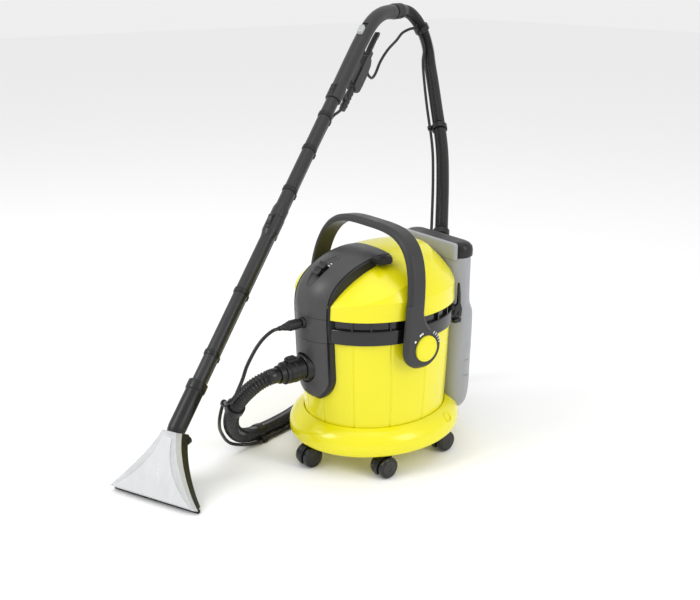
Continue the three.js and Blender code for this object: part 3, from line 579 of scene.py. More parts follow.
for i, degrees in enumerate(CASTER_ANGLES, 1):
    a = math.radians(degrees)
    stand = MACHINE @ Matrix.Translation((CASTER_REACH * math.cos(a), CASTER_REACH * OVAL * math.sin(a), 0))
    fork = Shape()
    side = [(9, 50.5), (6, 53), (-6, 53.4), (-12, 53.1)]
    for k in range(9):
        t = math.radians(100 + 14 * k)
        side.append((-CASTER_TRAIL + 28 * math.cos(t), WHEEL_R + 27.5 * math.sin(t)))
    side += [(-CASTER_TRAIL - 19, 13), (-CASTER_TRAIL + 2, 14), (4, 18), (9, 32)]
    fork.plate(side, "X", -6.2, 6.2)
    fork.rod("Z", 6.5, 48.4, RING_UNDER - 0.6, 28)
    fork.turned([(4.5, 53.5), (13, 53.5), (13, 56.8), (4.5, 56.8)], 32)
    piece(f"caster_hood_{i}", fork, f"caster_{i}", BLACK, "black", place=stand,
          replaces=[f"caster_fork_{i}"], edge=1.4)
    pair = Shape()
    for sign in (1, -1):
        axle = Matrix.Translation((0, -CASTER_TRAIL, WHEEL_R))
        turn = axle @ Matrix.Rotation(math.radians(90) * sign, 4, "Y")
        inner, outer = 7.4, 7.2 + WHEEL_W
        pair.turned([(0, inner), (22.5, inner), (24.2, inner + 1), (25, inner + 3), (25, outer - 4.4),
                     (24.3, outer - 2.2), (22.4, outer - 0.9), (20.6, outer - 0.6), (20, outer - 1.4),
                     (19, outer - 1.5), (18.4, outer - 0.6), (12, outer - 0.15), (6.4, outer),
                     (5.8, outer - 0.8), (0, outer - 0.8)], 56, place=turn, loop=False)
    pair.rod("X", 3.4, -9, 9, 20, place=Matrix.Translation((0, -CASTER_TRAIL, WHEEL_R)))
    piece(f"caster_wheel_pair_{i}", pair, f"wheels_{i}", GLOSS_BLACK, "black", place=stand,
          replaces=[f"caster_wheels_{i}"])

# ---------- tub ----------
PANEL_EDGES = [10.9, 38, 66, 94.5, 122]      # degrees either side of the front, in the oval's own angle


def panels(angle, share):
    """The tub's wall is a row of slightly flattened panels with a fine groove between them; they
    fade out towards the foot, where share is 0."""
    off = abs((math.degrees(angle) + 90 + 180) % 360 - 180)
    stops = [-PANEL_EDGES[0], *PANEL_EDGES, 150]
    dent = 0.0
    for low, high in zip(stops, stops[1:]):
        if low <= off < high:
            middle, half = (low + high) / 2, (high - low) / 2
            bow = 1 - ((off - middle) / half) ** 2
            near = min(off - low, high - off)
            dent = 3.4 * share * bow + 2.2 * math.exp(-((near / 0.7) ** 2))
    return dent


tub = Shape()
outside = [(146, 62.8), (151, 65), (153.2, 70), (153.8, 112), (158.6, 200), (163.4, 300), (164.2, TUB_TOP)]
inside = [(161, TUB_TOP), (160, 300), (150.5, 112), (149, 72), (144, 67)]
tub.loft([plan(r, z, sides=720, dent=lambda angle, z=z: panels(angle, max(0.12, (z - 90) / 226)))
          for r, z in outside]
         + [plan(r - 3.2, z, flat=REAR_FLAT - 3, sides=720) for r, z in inside])
piece("tub_wall", tub, "root", YELLOW, "yellow", replaces=["tub"], edge=0.8, angle=50)

# ---------- head: band, deck, dome ----------
band = [(BAND_R - 1.2, TUB_TOP + 0.5), (BAND_R + 0.3, 318), (BAND_R + 0.6, 333), (BAND_R, 347.5),
        (BAND_R - 1.4, 349.6),
        (BAND_R - 6, 350.2), (160, 351), (160, BAND_TOP - 0.5)]
band_in = [(155, BAND_TOP - 0.5), (155, TUB_TOP + 0.5)]
band_rings = [plan(r, z) for r, z in band] + [plan(r, z, flat=REAR_FLAT - 4) for r, z in band_in]
band_shape = Shape().loft(band_rings, ends=False, loop=True)
POST_STEP = 13.5
for side_sign in (1, -1):
    for k in range(8):
        off = math.radians(37.8 + POST_STEP * k)
        a = -math.pi / 2 + side_sign * off
        spot = Matrix.Translation((163 * math.cos(a), 163 * OVAL * math.sin(a), 0))
        out = math.atan2(math.sin(a) / OVAL, math.cos(a))
        band_shape.box(-4.5, 3.5, -1.8, 1.8, 349, BAND_TOP - 0.6, place=spot @ Matrix.Rotation(out, 4, "Z"))
piece("head_band_ring", band_shape, "head", GLOSS_BLACK, "black", replaces=["head_band"], edge=0.7)

deck = Shape().loft([plan(153, z, flat=REAR_FLAT - 6) for z in (331, 335)])
deck_obj = solid("motor_deck_plate", deck)
cut(deck_obj, Shape().rod("Z", 36, 320, 345))
done(deck_obj, "head", BLACK, "black", replaces=["motor_deck"], edge=0.6)


def crown(x, y):
    return 300 + 192 * math.sqrt(max(0.0, 1 - (x / 252) ** 2 - ((y - 60) / 295) ** 2))


CONE = [(0, 560), (0.585, 500), (0.819, 457), (0.936, 430), (0.991, 412)]     # [share of radius, height]


def cone(x, y):
    share = math.hypot(x, y / OVAL) / DOME_R
    return float(np.interp(share, [p[0] for p in CONE], [p[1] for p in CONE]))


def crease_share(x, y):
    """How far out, along the line to the rim point, the crown meets the sloping shoulder."""
    low, high = 0.3, 0.991
    if crown(x * high, y * high) <= cone(x * high, y * high):
        return high - 0.008
    for _ in range(30):
        middle = (low + high) / 2
        if crown(x * middle, y * middle) < cone(x * middle, y * middle):
            low = middle
        else:
            high = middle
    return min(low, 0.983)


def dome_sections(inset, foot):
    """Rings of the wall, of the shoulder up to the crease, and of the crown, for one skin."""
    rim = [(x, y) for x, y, _ in plan(DOME_R - inset, 0, flat=REAR_FLAT - inset)]
    creases = [crease_share(x, y) for x, y in rim]
    tops = [min(cone(x * 0.991, y * 0.991), crown(x * 0.991, y * 0.991)) - inset for x, y in rim]
    sections = []
    for rise in (0, 0.25, 0.5, 0.75, 1.0):
        lean = 1 - 0.009 * rise
        sections.append([(x * lean, y * lean, foot + (top - foot) * rise)
                         for (x, y), top in zip(rim, tops)])
    for part in (0.25, 0.5, 0.75, 1.0):
        shares = [0.991 + (crease - 0.991) * part for crease in creases]
        spots = [(x * share, y * share) for (x, y), share in zip(rim, shares)]
        sections.append([(x, y, min(cone(x, y), crown(x, y)) - inset) for x, y in spots])
    for part in (0.96, 0.9, 0.82, 0.72, 0.6, 0.48, 0.36, 0.24, 0.12, 0.004):
        spots = [(x * crease * part, y * crease * part) for (x, y), crease in zip(rim, creases)]
        sections.append([(x, y, crown(x, y) - inset) for x, y in spots])
    return sections


outer = dome_sections(0, BAND_TOP)
inner = dome_sections(3, BAND_TOP)
dome_obj = solid("dome_shell", Shape().loft(outer))
cut(dome_obj, Shape().loft([[(x, y, z - 4) for x, y, z in inner[0]], *inner]))
done(dome_obj, "head", YELLOW, "yellow", replaces=["dome_cover"], edge=1.6, angle=14, segments=3)

# ---------- console ----------
FACE_MIDDLE = [(-176, 165), (-190, 176), (-202, 200), (-206, 232), (-207, 300), (-206, 371), (-204, 398),
               (-195, 426), (-180, 448), (-158, 466), (-126, 481), (-88, 491), (-46, 495), (-8, 493)]
FACE_EDGE = [(-160, 165), (-168, 176), (-176, 200), (-180, 232), (-183, 300), (-186, 371), (-184, 398),
             (-177, 420), (-162, 441), (-138, 460), (-106, 476), (-70, 486), (-36, 490), (-8, 489)]


def console_section(x, lift=0.0, sink=0.0):
    side = min(1.0, abs(x) / CONSOLE_HALF) ** 2.2
    face = []
    for (y, z), (ey, ez) in zip(FACE_MIDDLE, FACE_EDGE):
        face.append((y + (ey - y) * side, z + (ez - z) * side, 0))
    face = [(p[0], p[1]) for p in spline(face, 5)]
    outline = []
    for i, (y, z) in enumerate(face):
        (y0, z0), (y1, z1) = face[max(0, i - 1)], face[min(len(face) - 1, i + 1)]
        length = math.hypot(y1 - y0, z1 - z0)
        outline.append((x, y - lift * (z1 - z0) / length, z + lift * (y1 - y0) / length))
    return [*outline, (x, -8, 440 - sink), (x, -120, 380), (x, -150, 300), (x, -150, 165)]


def console_body(x0, x1, steps, lift=0.0):
    return Shape().loft([console_section(x0 + (x1 - x0) * i / steps, lift) for i in range(steps + 1)])


def slab(z0, z1):
    return Shape().box(-300, 300, -400, 300, z0, z1)


hood = solid("console_hood_shell", console_body(-CONSOLE_HALF, CONSOLE_HALF, 28))
keep(hood, slab(BAND_TOP + 0.3, 600))


def face_spot(share):
    """A point of the console's centre line and its direction along the face, share 0 low, 1 high."""
    low, high = (-190, 434), (-102, 487.6)
    line = spaced(spline([(y, z, 0) for y, z in FACE_MIDDLE], 8), 1.0)
    start = int(np.argmin(np.hypot(line[:, 0] - low[0], line[:, 1] - low[1])))
    end = int(np.argmin(np.hypot(line[:, 0] - high[0], line[:, 1] - high[1])))
    i = round(start + (end - start) * share)
    run = line[i + 2] - line[i - 2]
    return line[i][0], line[i][1], math.atan2(run[1], run[0])


POCKET_HALF = 17
dish = []
for k in range(33):
    share = k / 32
    y, z, lean = face_spot(share)
    size = max(0.02, 1 - abs(2 * share - 1) ** 3) ** 0.5
    section = []
    for t in turns(36):
        across, up = POCKET_HALF * size * math.cos(t), 8 * size * math.sin(t)
        section.append((across, y - up * math.sin(lean), z + up * math.cos(lean)))
    dish.append(section)
cut(hood, Shape().loft(dish))
done(hood, "head", CONSOLE, "console_grey", replaces=["console_hood"], edge=1.6, angle=32)

mid = solid("console_middle", console_body(-CONSOLE_HALF, CONSOLE_HALF, 28))
keep(mid, slab(TUB_TOP + 0.6, BAND_TOP - 0.5))
cut(mid, Shape().rod("Y", 13, -260, -199, 40, place=Matrix.Translation((0, 0, SPRAY_Z))))
done(mid, "head", CONSOLE, "console_grey", replaces=["console_mid"], edge=1.1, angle=32)

for side_sign, word in ((1, "right"), (-1, "left")):
    near, far = sorted((side_sign * (CONSOLE_HALF + 0.3), side_sign * (CONSOLE_HALF + TRIM)))
    strip = solid(f"console_trim_strip_{word}", console_body(near, far, 2, lift=-1.5))
    keep(strip, slab(TUB_TOP + 0.6, 600))
    done(strip, "head", BLACK, "black", replaces=[f"console_trim_{word}"], edge=1.6)

half = CONSOLE_HALF + TRIM
low = 167


def u_outline(inset):
    outline = [(half - inset, 400), (inset - half, 400)]
    for k in range(33):
        t = math.radians(180 + 180 * k / 32)
        outline.append(((half - inset) * math.cos(t), low + half + (half - inset) * math.sin(t)))
    return Shape().plate(outline, "Y", -400, 0)


port = Shape().turned([(0, -240), (38, -240), (35, -203), (34, -199), (0, -199)], 64, loop=False,
                      place=Matrix.Translation((0, 0, INLET_Z)) @ ALONG_Y)
housing = solid("inlet_housing_shell", console_body(-half, half, 32))
keep(housing, u_outline(TRIM))
keep(housing, slab(0, TUB_TOP - 0.1))
cut(housing, port)
done(housing, "root", CONSOLE, "console_grey", edge=2.0, angle=34, replaces=["inlet_housing"])
border = solid("inlet_housing_border", console_body(-half, half, 32, lift=-1.2))
keep(border, u_outline(0))
keep(border, slab(0, TUB_TOP - 0.1))
cut(border, u_outline(TRIM - 0.2))
done(border, "root", BLACK, "black", edge=2.6, angle=34, replaces=["inlet_housing"])
INLET = MACHINE @ Matrix.Translation((0, 0, INLET_Z)) @ ALONG_Y
SOCKET = MACHINE @ Matrix.Translation((0, 0, SPRAY_Z)) @ ALONG_Y
inlet_profile = [(22, -212.6), (28, -212.6), (30, -211), (31, -206), (33, -199.5), (33, -190), (22, -190)]
piece("inlet_collar", Shape().turned(inlet_profile, 64), "root", BLACK, "black", place=INLET)

# ---------- suction connector and spray plug ----------
collar = Shape().turned([
    (16.5, -275.4), (20.6, -275.4), (21, -263), (25.4, -262), (25.4, -256), (24, -255.5), (24, -252.5),
    (25.4, -252), (25.4, -238), (27, -237), (27, -231), (25.4, -230), (25.4, -214), (20.2, -213.4),
    (20.2, -193),
    (16.5, -193)], 72)
for k in range(14):
    a = 2 * math.pi * k / 14
    collar.box(24.6, 26.4, -1.6, 1.6, -251, -239, place=Matrix.Rotation(a, 4, "Z"))
connector = piece("hose_connector_body", collar, "root", BLACK, "black", place=INLET,
                  replaces=["hose_connector"], edge=0.5)
knob = Shape().box(-9, 9, -253, -226, 20, 31)
knob.box(-7, 7, -251, -230, 31, 34)
for y in (-247, -243, -239, -235):
    knob.box(-6.5, 6.5, y, y + 1.6, 33.5, 35)
button = piece("connector_release_button", knob, "button", BLACK, "black",
               place=MACHINE @ Matrix.Translation((0, 0, INLET_Z)), replaces=["connector_button"], edge=0.9)

socket_profile = [(9, -213.6), (11.6, -213.6), (12.4, -212), (12.4, -200), (9, -200)]
piece("spray_socket_ring", Shape().turned(socket_profile, 48), "head", BLACK, "black", place=SOCKET,
      replaces=["spray_socket"])
plug = Shape().turned([
    (0, -270.5), (5.4, -270.5), (5.8, -262), (8.0, -256), (8.6, -250), (10.2, -247.5), (10.8, -244),
    (10.8, -218),
    (10, -215.5), (8.4, -215), (8.4, -200), (0, -200)], 48, loop=False)
for k in range(10):
    plug.box(9.8, 11.9, -1.1, 1.1, -243, -221, place=Matrix.Rotation(2 * math.pi * k / 10, 4, "Z"))
spray_plug = piece("spray_plug_body", plug, "head", BLACK, "black", place=SOCKET, replaces=["spray_plug"],
                   edge=0.4)

# ---------- switches, latch and works ----------
ROCKER_LEAN = math.radians(38)
for name, body, along in (("rocker_suction", "rocker_a", -9.5), ("rocker_spray", "rocker_b", 8.5)):
    at = MACHINE @ Matrix.Translation((0, -160 + along * math.cos(ROCKER_LEAN),
                                       470.4 + along * math.sin(ROCKER_LEAN)))
    pad = Shape().plate([(-5.5, -13), (5.5, -13), (8, 0), (8, 3.6), (0.5, 0.8), (-0.5, 0.8), (-8, 2.2),
                         (-8, 0)], "X", -11, 11)
    piece(f"{name}_pad", pad, body, GLOSS_BLACK, "black", replaces=[name], edge=0.8,
          place=at @ Matrix.Rotation(ROCKER_LEAN, 4, "X"))
for number, (share, width) in enumerate(((0.66, 8), (0.74, 5)), 1):
    y, z, lean = face_spot(share)
    bottom = -8 * (1 - abs(2 * share - 1) ** 3) ** 0.5
    bar = Shape().box(-width / 2, width / 2, -1.2, 1.2, bottom - 0.8, bottom + 0.9)
    piece(f"switch_symbol_{number}", bar, "head", MARK, "light_grey",
          place=MACHINE @ Matrix.Translation((0, y, z)) @ Matrix.Rotation(lean, 4, "X"))

grip = Shape().plate([(-34, -6), (-30, -11), (3, -12.5), (8, -8), (8.5, 0), (4, 5.6), (-26, 8), (-33, 5)],
                     "X", 0.5, 23.5)
for y in (-22, -16, -10, -4):
    grip.box(3, 21, y, y + 2, 7, 8.8)
piece("head_latch_grip", grip, "latch", BLACK, "black",
      place=MACHINE @ Matrix.Translation((CONSOLE_HALF + TRIM + 1, -34, 489)), replaces=["head_latch"],
      edge=2.2)

WORKS = {"motor_housing": STEEL, "fan_rotor": STEEL, "float_cage": BLACK, "float_ball": LIGHT,
         "filter_cartridge": LIGHT, "spray_pump": BLACK, "intake_pipe": BLACK, "mains_gland": BLACK}
for node, material in WORKS.items():
    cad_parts[node].data.materials.clear()
    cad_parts[node].data.materials.append(material)

# ---------- carry handle ----------
HALF_OUT, HALF_IN = HOOP_OUT[0], HOOP_IN[0]


def hoop_point(size, t):
    c, s = math.cos(t), math.sin(t)
    return (math.copysign(abs(c) ** (2 / HOOP_POWER), c) * size[0],
            size[1] * max(0.0, s) ** (2 / HOOP_POWER))


# Cross-section of the hoop: [across, share from the inner face to the outer].
HOOP_SECTION = [(-23, 0.08), (-23, 0.5), (-22.2, 0.6), (-16.6, 0.96), (-15, 1), (15, 1), (16.6, 0.96),
                (22.2, 0.6), (23, 0.5), (23, 0.08), (21.5, 0), (-21.5, 0)]
sections = []
STEPS = 120
for k in range(STEPS + 1):
    t = math.pi * (0.5 - 0.5 * math.cos(math.pi * k / STEPS))
    (ox, oz), (ix, iz) = hoop_point(HOOP_OUT, t), hoop_point(HOOP_IN, t)
    section = []
    for y, d in HOOP_SECTION:
        z = iz + (oz - iz) * d
        section.append((ix + (ox - ix) * d, HOOP_BOW * (z / HOOP_OUT[1]) ** 2 - HOOP_FRONT + y, z))
    sections.append(section)
hoop = solid("carry_handle_hoop", Shape().loft(sections), HOOP)
LEG_BACK = 23 - HOOP_FRONT


def lobe_taper(z):
    """Share of its half width that the hoop keeps at a height over the pivot."""
    return 1.0 if z <= 0 else (1 - (z / HOOP_OUT[1]) ** HOOP_POWER) ** (1 / HOOP_POWER)


def lobe_outline(inset):
    """The handle's end round the pivot: two discs' hull, narrowing softly into the leg above."""
    r = LOBE_R - inset
    outline = []
    for k in range(29):
        a = math.radians(180 + 90 * k / 28)
        outline.append((r * math.cos(a) - LOBE_LONG, r * math.sin(a)))
    for k in range(45):
        a = math.radians(270 + 150 * k / 44)
        outline.append((r * math.cos(a), r * math.sin(a)))
    end_y, end_z = outline[-1]
    for k in range(1, 9):
        u = k / 8
        soft = u * u * (3 - 2 * u)
        towards = (LEG_BACK - inset - end_y) * (1 - (1 - u) ** 2)
        outline.append((end_y + towards, end_z + 45 * (0.25 * u + 0.75 * soft)))
    outline += [(LEG_BACK - inset, 100), (LEG_BACK - 46 + inset, 100), (LEG_BACK - 46 + inset, 40)]
    return outline


for side_sign in (1, -1):
    outlines = [(lobe_outline(inset), side_sign * x) for inset, x in
                ((1, HALF_IN), (0, HALF_IN + 1), (0, HALF_OUT - 6), (6, HALF_OUT))]
    plate = [[(x * lobe_taper(z), y, z) for y, z in outline] for outline, x in outlines]
    join(hoop, Shape().loft(plate), HOOP)
    cut(hoop, Shape().rod("X", 31, *sorted((side_sign * (HALF_OUT - 3), side_sign * 230)), 64), HOOP)
cut(hoop, Shape().rod("X", 12.6, -260, 260, 48), HOOP)
done(hoop, "handle", HANDLE, "handle_grey", replaces=["carry_handle"], edge=1.0, angle=28)

PIVOT_PLACE = MACHINE @ Matrix.Translation(PIVOT)
for side_sign, word in ((1, "right"), (-1, "left")):
    turn = Matrix.Rotation(math.radians(90) * side_sign, 4, "Y")
    cap = Shape().turned([(0, 160), (12, 160), (12, 184.6), (29.2, 185.6), (30, 186.6), (30, 189.4),
                          (28.8, 191.2), (26.4, 191.8), (25.4, 191.0), (24.4, 191.0), (23.4, 191.9),
                          (12, 192.5), (0, 192.6)],
                         72, place=turn, loop=False)
    piece(f"pivot_disc_{word}", cap, "root", YELLOW, "yellow", place=PIVOT_PLACE,
          replaces=[f"pivot_cap_{word}"])
    ticks = Shape()
    x0, x1 = sorted((side_sign * (HALF_OUT - 0.2), side_sign * (HALF_OUT + 0.5)))
    for degrees in (62, 51, 40, 29, 18):
        spin = Matrix.Rotation(math.radians(degrees), 4, "X")
        ticks.box(x0, x1, 36, 42.5, -0.8, 0.8, place=spin)
    for degrees in (112, 116, 120, 124):
        spin = Matrix.Rotation(math.radians(degrees), 4, "X")
        ticks.box(x0, x1, 36.5, 40.5, -1.6, 1.6, place=spin)
    spin = Matrix.Rotation(math.radians(150), 4, "X")
    ticks.rod("X", 2.6, x0, x1, 20, place=spin @ Matrix.Translation((0, 39, 0)))
    piece(f"handle_marks_{word}", ticks, "handle", MARK, "light_grey", place=HOOP)

# ---------- fresh-water tank ----------
tank_sections = spline([np.array(s).ravel() for s in tank_space(0)], 5)
tank_sections = [[tuple(p) for p in s.reshape(-1, 3)] for s in tank_sections]
tank = solid("tank_shell", Shape().loft(tank_sections))
tank_in = [[(p[0] * 0.965, 187 + (p[1] - 187) * 0.92, 73 + (p[2] - 69.6) * 0.983) for p in s]
           for s in tank_sections]
cut(tank, Shape().loft(tank_in))
cut(tank, Shape().box(-60, 60, 166, 206, 430, 460))
for z in (160, 200, 240, 280):
    join(tank, Shape().box(103, 115.3, 184, 198, z, z + 1.6))
done(tank, "tank", TANK, "tank", replaces=["fresh_water_tank"], edge=1.5, angle=35)
rim = Shape().loft([rounded_plan(101, 151, 163.2, 5, 453.6), rounded_plan(101, 151, 163.2, 5, 487),
                    rounded_plan(98, 152, 162.5, 5, 491)])
piece("tank_rim_strip", rim, "tank", TANK, "tank", replaces=["tank_rim"], edge=1.0)
lid = solid("tank_cap_hood", Shape().loft([
    rounded_plan(103.6, 164.2, 223.4, 28, 453.8), rounded_plan(104, 164, 223.6, 28, 468),
    rounded_plan(102.5, 164.6, 222, 27, 477), rounded_plan(98, 166, 217, 25, 483.5),
    rounded_plan(90, 169, 210, 20, 487.2), rounded_plan(80, 172, 203, 15, 488)]))
cut(lid, Shape().box(-80, 80, 172, 205, 440, 478))
done(lid, "cap", BLACK, "black", replaces=["tank_cap"], edge=1.2, angle=32)

hook = Shape()
HOOK_SIDE = [(0, 0), (14, 0), (16, 20), (10.5, 34), (9.5, 60), (5.5, 84), (3, 84), (2, 70), (2, 36),
             (-6, 28), (-10, 10)]
hook.plate([(y, z) for y, z in HOOK_SIDE], "X", 0, 6)
hook.box(-24, 4, -12, 8, 2, 18)
hook.box(-20, 5, -16, 4, 20, 30)
hook.box(-10, 8, -8, 12, -12, -2)
hook.rod("X", 5, -10, 8, 20, place=Matrix.Translation((0, 6, 9)))
piece("accessory_hook_blade", hook, "head", BLACK, "black",
      place=MACHINE @ Matrix.Translation((119, 143, 322)), replaces=["accessory_hook"], edge=1.0)

# ---------- wand ----------
def tube_profile(points, bore=15.4):
    return [(bore, points[0][1]), *points, (bore, points[-1][1])]


lower = Shape().turned(tube_profile([
    (16.2, NECK + 20), (17, NECK + 21), (17, MIDDLE - 62), (18.4, MIDDLE - 52), (20.4, MIDDLE - 44),
    (21, MIDDLE - 40), (21, MIDDLE - 3), (20.2, MIDDLE)]), 56)
lower.box(-6.5, 6.5, -23.2, -19.5, MIDDLE - 42, MIDDLE - 2)
piece("wand_tube_lower", lower, "root", TUBE, "handle_grey", place=AXIS, replaces=["tube_lower"], edge=0.5)
upper = Shape().turned(tube_profile([
    (19.2, MIDDLE + 0.6), (20, MIDDLE + 2), (20, MIDDLE + 26), (18.2, MIDDLE + 34), (17, MIDDLE + 38),
    (17, UPPER - 1), (16.4, UPPER)]), 56)
piece("wand_tube_upper", upper, "root", TUBE, "handle_grey", place=AXIS, replaces=["tube_upper"], edge=0.5)
for body, node, z in (("tube_catch_low", "tube_latch_lower", MIDDLE - 18),
                      ("tube_catch_high", "tube_latch_upper", UPPER + 22)):
    catch = Shape().plate([(-23.6, -15), (-21.6, -15), (-21.6, 15), (-23.6, 15), (-27.4, 12), (-29.4, 9),
                           (-29.4, 3), (-26.6, -2), (-26, -12)], "X", -5.6, 5.6)
    piece(f"{node}_catch", catch, body, BLACK, "black", replaces=[node], edge=0.9,
          place=AXIS @ Matrix.Translation((0, 0, z)))
PIPE_ROUTE = [(0, 26, 330), (0, 26, 700), (0, 26, 1080), (0, 30, 1125), (0, 44, 1152), (0, 52, 1168)]
pipe_line = spaced(spline(PIPE_ROUTE, 12), 8)
pipe = Shape().loft(sweep(pipe_line, [4] * len(pipe_line), 16))
piece("spray_pipe_tube", pipe, "root", BLACK, "black", place=AXIS, replaces=["spray_pipe"])
for number, z in enumerate((392, 560, 735, 860, 990, 1100), 1):
    strap = Shape().turned([(17.2, z - 6), (19, z - 6), (19.4, z), (19, z + 6), (17.2, z + 6)], 48)
    strap.turned([(4.1, z - 6), (6.6, z - 6), (6.6, z + 6), (4.1, z + 6)], 28,
                 place=Matrix.Translation((0, 26, 0)))
    strap.box(-3, 3, 18, 21.8, z - 6, z + 6)
    piece(f"wand_clip_{number}", strap, "root", BLACK, "black", place=AXIS, edge=0.5)

GRIP_ROUTE = [(0, 864, 764.4), (0, 900, 796.3), (0, 940, 831.7), (0, 985, 871.5), (0, 1028, 908),
              (0, 1068, 938), (0, 1108, 958), (0, 1155, 969.5), (0, 1215, 972)]
SLIDER = WAND @ Matrix.Translation((0, 1032, 934)) @ Matrix.Rotation(math.radians(37), 4, "X")
grip_line = spaced(spline(GRIP_ROUTE, 12), 6)
count = len(grip_line)
radii = []
for i in range(count):
    s = i / (count - 1)
    radii.append(19.2 + 1.2 * math.sin(math.pi * min(1, s * 1.1)) + (0.9 if s > 0.93 else 0))
grip_obj = solid("grip_shell", Shape().loft(sweep(grip_line, radii, 40)), WAND)
cut(grip_obj, Shape().box(-7.5, 7.5, -24, 24, -3, 34), SLIDER)
done(grip_obj, "root", HANDLE, "handle_grey", replaces=["grip_handle"], edge=0.8)
socket = Shape().turned([(15.5, UPPER + 1), (20.4, UPPER + 1), (21.4, UPPER + 3), (21.4, UPPER + 40),
                         (20.4, UPPER + 46), (15.5, UPPER + 46)], 56)
socket.box(-6.5, 6.5, -23.4, -20, UPPER + 4, UPPER + 42)
piece("grip_socket", socket, "root", HANDLE, "handle_grey", place=AXIS, edge=0.6)
slide = Shape().box(-6.4, 6.4, -21, 4, -2, 12)
for y in (-16, -11, -6, -1):
    slide.box(-5.5, 5.5, y, y + 1.8, 11.5, 13.8)
piece("air_slider_pad", slide, "slider", LIGHT, "light_grey", replaces=["air_slider"], edge=1.2, place=SLIDER)
CUFF = WAND @ Matrix.Translation((0, 0, 972)) @ ALONG_Y
cuff_profile = [(14, 1199), (16.8, 1199), (16.8, 1217), (21, 1217.4), (22, 1219)]
for k in range(5):
    y = 1226 + 7 * k
    cuff_profile += [(22, y), (20.9, y + 1), (20.9, y + 2.6), (22, y + 3.6)]
cuff_profile += [(21, 1267.6), (14, 1267.6)]
piece("hose_cuff_sleeve", Shape().turned(cuff_profile, 56), "root", BLACK, "black", place=CUFF,
      replaces=["hose_cuff"])

trigger = Shape().plate([(43, 1252), (50, 1243), (60, 1240), (70, 1243), (77, 1254), (79, 1275), (78.5, 1310),
                         (74, 1345), (66, 1358), (56, 1360), (46, 1360), (42, 1350)], "X", -13, 13)
trigger.box(-8, 8, 20.4, 44, 1250, 1314)
trigger.rod("Z", 9, 1172, 1250, 32, place=Matrix.Translation((0, 56, 0)))
for k in range(4):
    z = 1182 + 14 * k
    trigger.turned([(8.6, z), (10.2, z + 1), (10.2, z + 7), (8.6, z + 8)], 32,
                   place=Matrix.Translation((0, 56, 0)))
for x in (-11.2, 11.2):
    trigger.box(x - 1.8, x + 1.8, 46, 60, 1355, 1377)
trigger.box(-5, 5, 19, 57, 1196, 1208)
trigger.rod("Y", 5, 75, 90, 24, place=Matrix.Translation((0, 0, 1335)))
piece("spray_trigger_housing", trigger, "root", HANDLE, "handle_grey", place=AXIS, replaces=["spray_trigger"],
      edge=1.4)
lever = Shape().plate([(-4, -2), (4, -3), (5, 20), (4.6, 50), (7, 74), (4, 80), (-2, 79), (-4, 60),
                       (-5.4, 30)],
                      "X", -7, 7)
lever.rod("X", 5.5, -9, 9, 24)
piece("trigger_lever_paddle", lever, "lever", BLACK, "black", replaces=["trigger_lever"], edge=1.3,
      place=AXIS @ Matrix.Translation((0, 53, 1370)))

# ---------- nozzle ----------
tilt = math.radians(WAND_TILT)


def nozzle_section(share, front, behind, grow=0.0):
    """A section across the nozzle, from the lip (share 0) to the neck (share 1)."""
    top_y, top_z = (NECK - 4) * math.cos(tilt), (NECK - 4) * math.sin(tilt)
    y = LIP_Y + (top_y - LIP_Y) * max(0.0, share) ** 1.25
    z = 7.6 + (top_z - 7.6) * share
    reach = 19 + (LIP_HALF - 19) * (1 - share) ** 1.35 - grow
    lean = tilt + 0.35
    thick = 15 + 8 * share
    points = []
    for x, part in ((-reach, behind), (reach, behind), (reach, front), (-reach, front)):
        points.append((x, y - part * thick * math.sin(lean), z + part * thick * math.cos(lean)))
    return points


def nozzle_shell(front, behind, grow=0.0, low=0.0, high=1.0, steps=20):
    return Shape().loft([nozzle_section(low + (high - low) * i / steps, front, behind, grow)
                         for i in range(steps + 1)])


above_lip = Shape().box(-300, 300, -300, 600, 6.8, 500)
frame_part = solid("nozzle_frame", nozzle_shell(-0.05, -1.2), WAND)
keep(frame_part, above_lip, WAND)
done(frame_part, "root", BLACK, "black", replaces=["nozzle_body"], edge=1.4)
neck = Shape().turned([(12, NECK - 16), (15, NECK - 16), (19.6, NECK - 4), (21, NECK + 6), (21, LOWER + 2),
                       (23, LOWER + 5), (23.4, LOWER + 10),
                       (23.4, LOWER + 24), (22.6, LOWER + 26), (18.4, LOWER + 26), (18.4, NECK)], 56)
piece("nozzle_neck", neck, "root", BLACK, "black", place=AXIS, edge=0.5)
cover = solid("nozzle_clear_cover", nozzle_shell(1.0, 0.0), WAND)
cut(cover, nozzle_shell(0.82, -0.3, 3, -0.1, 0.95), WAND)
keep(cover, above_lip, WAND)
done(cover, "root", CLEAR, "nozzle_clear", replaces=["nozzle_cover"], edge=1.2, angle=35)


def panel_section(share):
    """The raised middle panel of the cover: as wide as the lip at its foot, slim at the neck."""
    section = nozzle_section(share, 1.1, 0.9)
    wide = 13 + (LIP_HALF - 5 - 13) * (1 - share) ** 2.1
    return [(math.copysign(wide, x), y, z) for x, y, z in section]


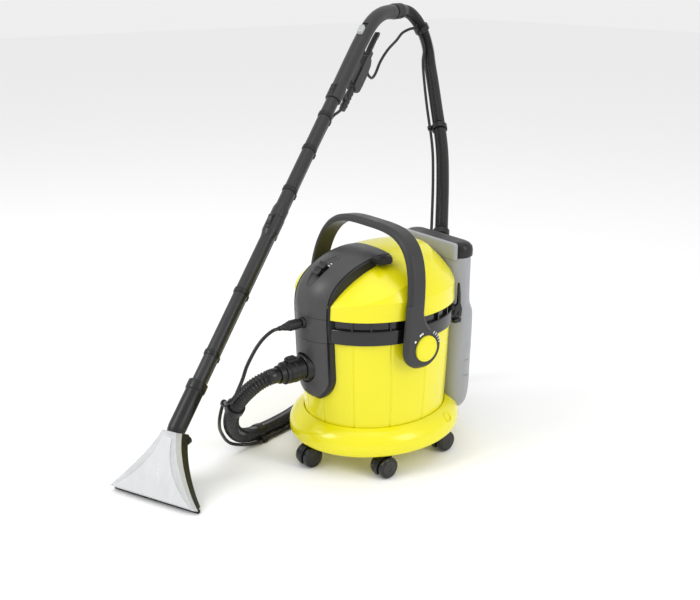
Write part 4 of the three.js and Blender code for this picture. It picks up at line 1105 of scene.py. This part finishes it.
panel = Shape().loft([panel_section(0.02 + 0.9 * i / 24) for i in range(25)])
piece("nozzle_middle_panel", panel, "root", PANEL, "nozzle_clear", place=WAND, edge=0.8)
lip = Shape().box(-LIP_HALF + 1, LIP_HALF - 1, LIP_Y + 1, LIP_Y + 9, 0, 6.4)
piece("nozzle_lip_strip", lip, "root", RUBBER, "rubber", place=WAND, replaces=["nozzle_lip"], edge=0.8)
wing = Shape().rod("Y", 9, -6, 6, 32).box(-2.2, 2.2, -9, 6, -11, 11)
piece("nozzle_wing_knob", wing, "knob", BLACK, "black", replaces=["nozzle_knob"], edge=0.9,
      place=WAND @ Matrix.Translation((16, 166, 104)))

# ---------- floor and light ----------
floor_mesh = bpy.data.meshes.new("floor")
R = 14
floor_mesh.from_pydata([(-R, -R, 0), (R, -R, 0), (R, R, 0), (-R, R, 0)], [], [(0, 1, 2, 3)])
floor = link("floor", floor_mesh)
floor_material, _, _, floor_shader = new_material("floor_white")
floor_shader.inputs["Base Color"].default_value = (0.96, 0.96, 0.96, 1)
floor_shader.inputs["Roughness"].default_value = 0.9
floor_shader.inputs["Specular IOR Level"].default_value = 0.1
floor_mesh.materials.append(floor_material)


def soft_light(name, where, size, power, target=(0, 0, 0.3)):
    lamp = bpy.data.lights.new(name, "AREA")
    lamp.shape = "RECTANGLE"
    lamp.size, lamp.size_y = size
    lamp.energy = power
    obj = bpy.data.objects.new(name, lamp)
    bpy.context.scene.collection.objects.link(obj)
    obj.location = where
    obj.rotation_mode = "QUATERNION"
    obj.rotation_quaternion = (Vector(target) - Vector(where)).to_track_quat("-Z", "Y")


soft_light("key", (-0.6, -2.6, 2.6), (1.5, 1.5), 46)
soft_light("side", (3.0, 0.9, 1.8), (1.0, 2.0), 26)
soft_light("top", (0.4, 0.2, 3.4), (2.2, 2.2), 12)
world = bpy.data.worlds.new("studio")
bpy.context.scene.world = world
world.use_nodes = True
world.node_tree.nodes["Background"].inputs["Color"].default_value = (1, 1, 1, 1)
world.node_tree.nodes["Background"].inputs["Strength"].default_value = 0.86
bpy.context.scene.view_settings.view_transform = "Standard"
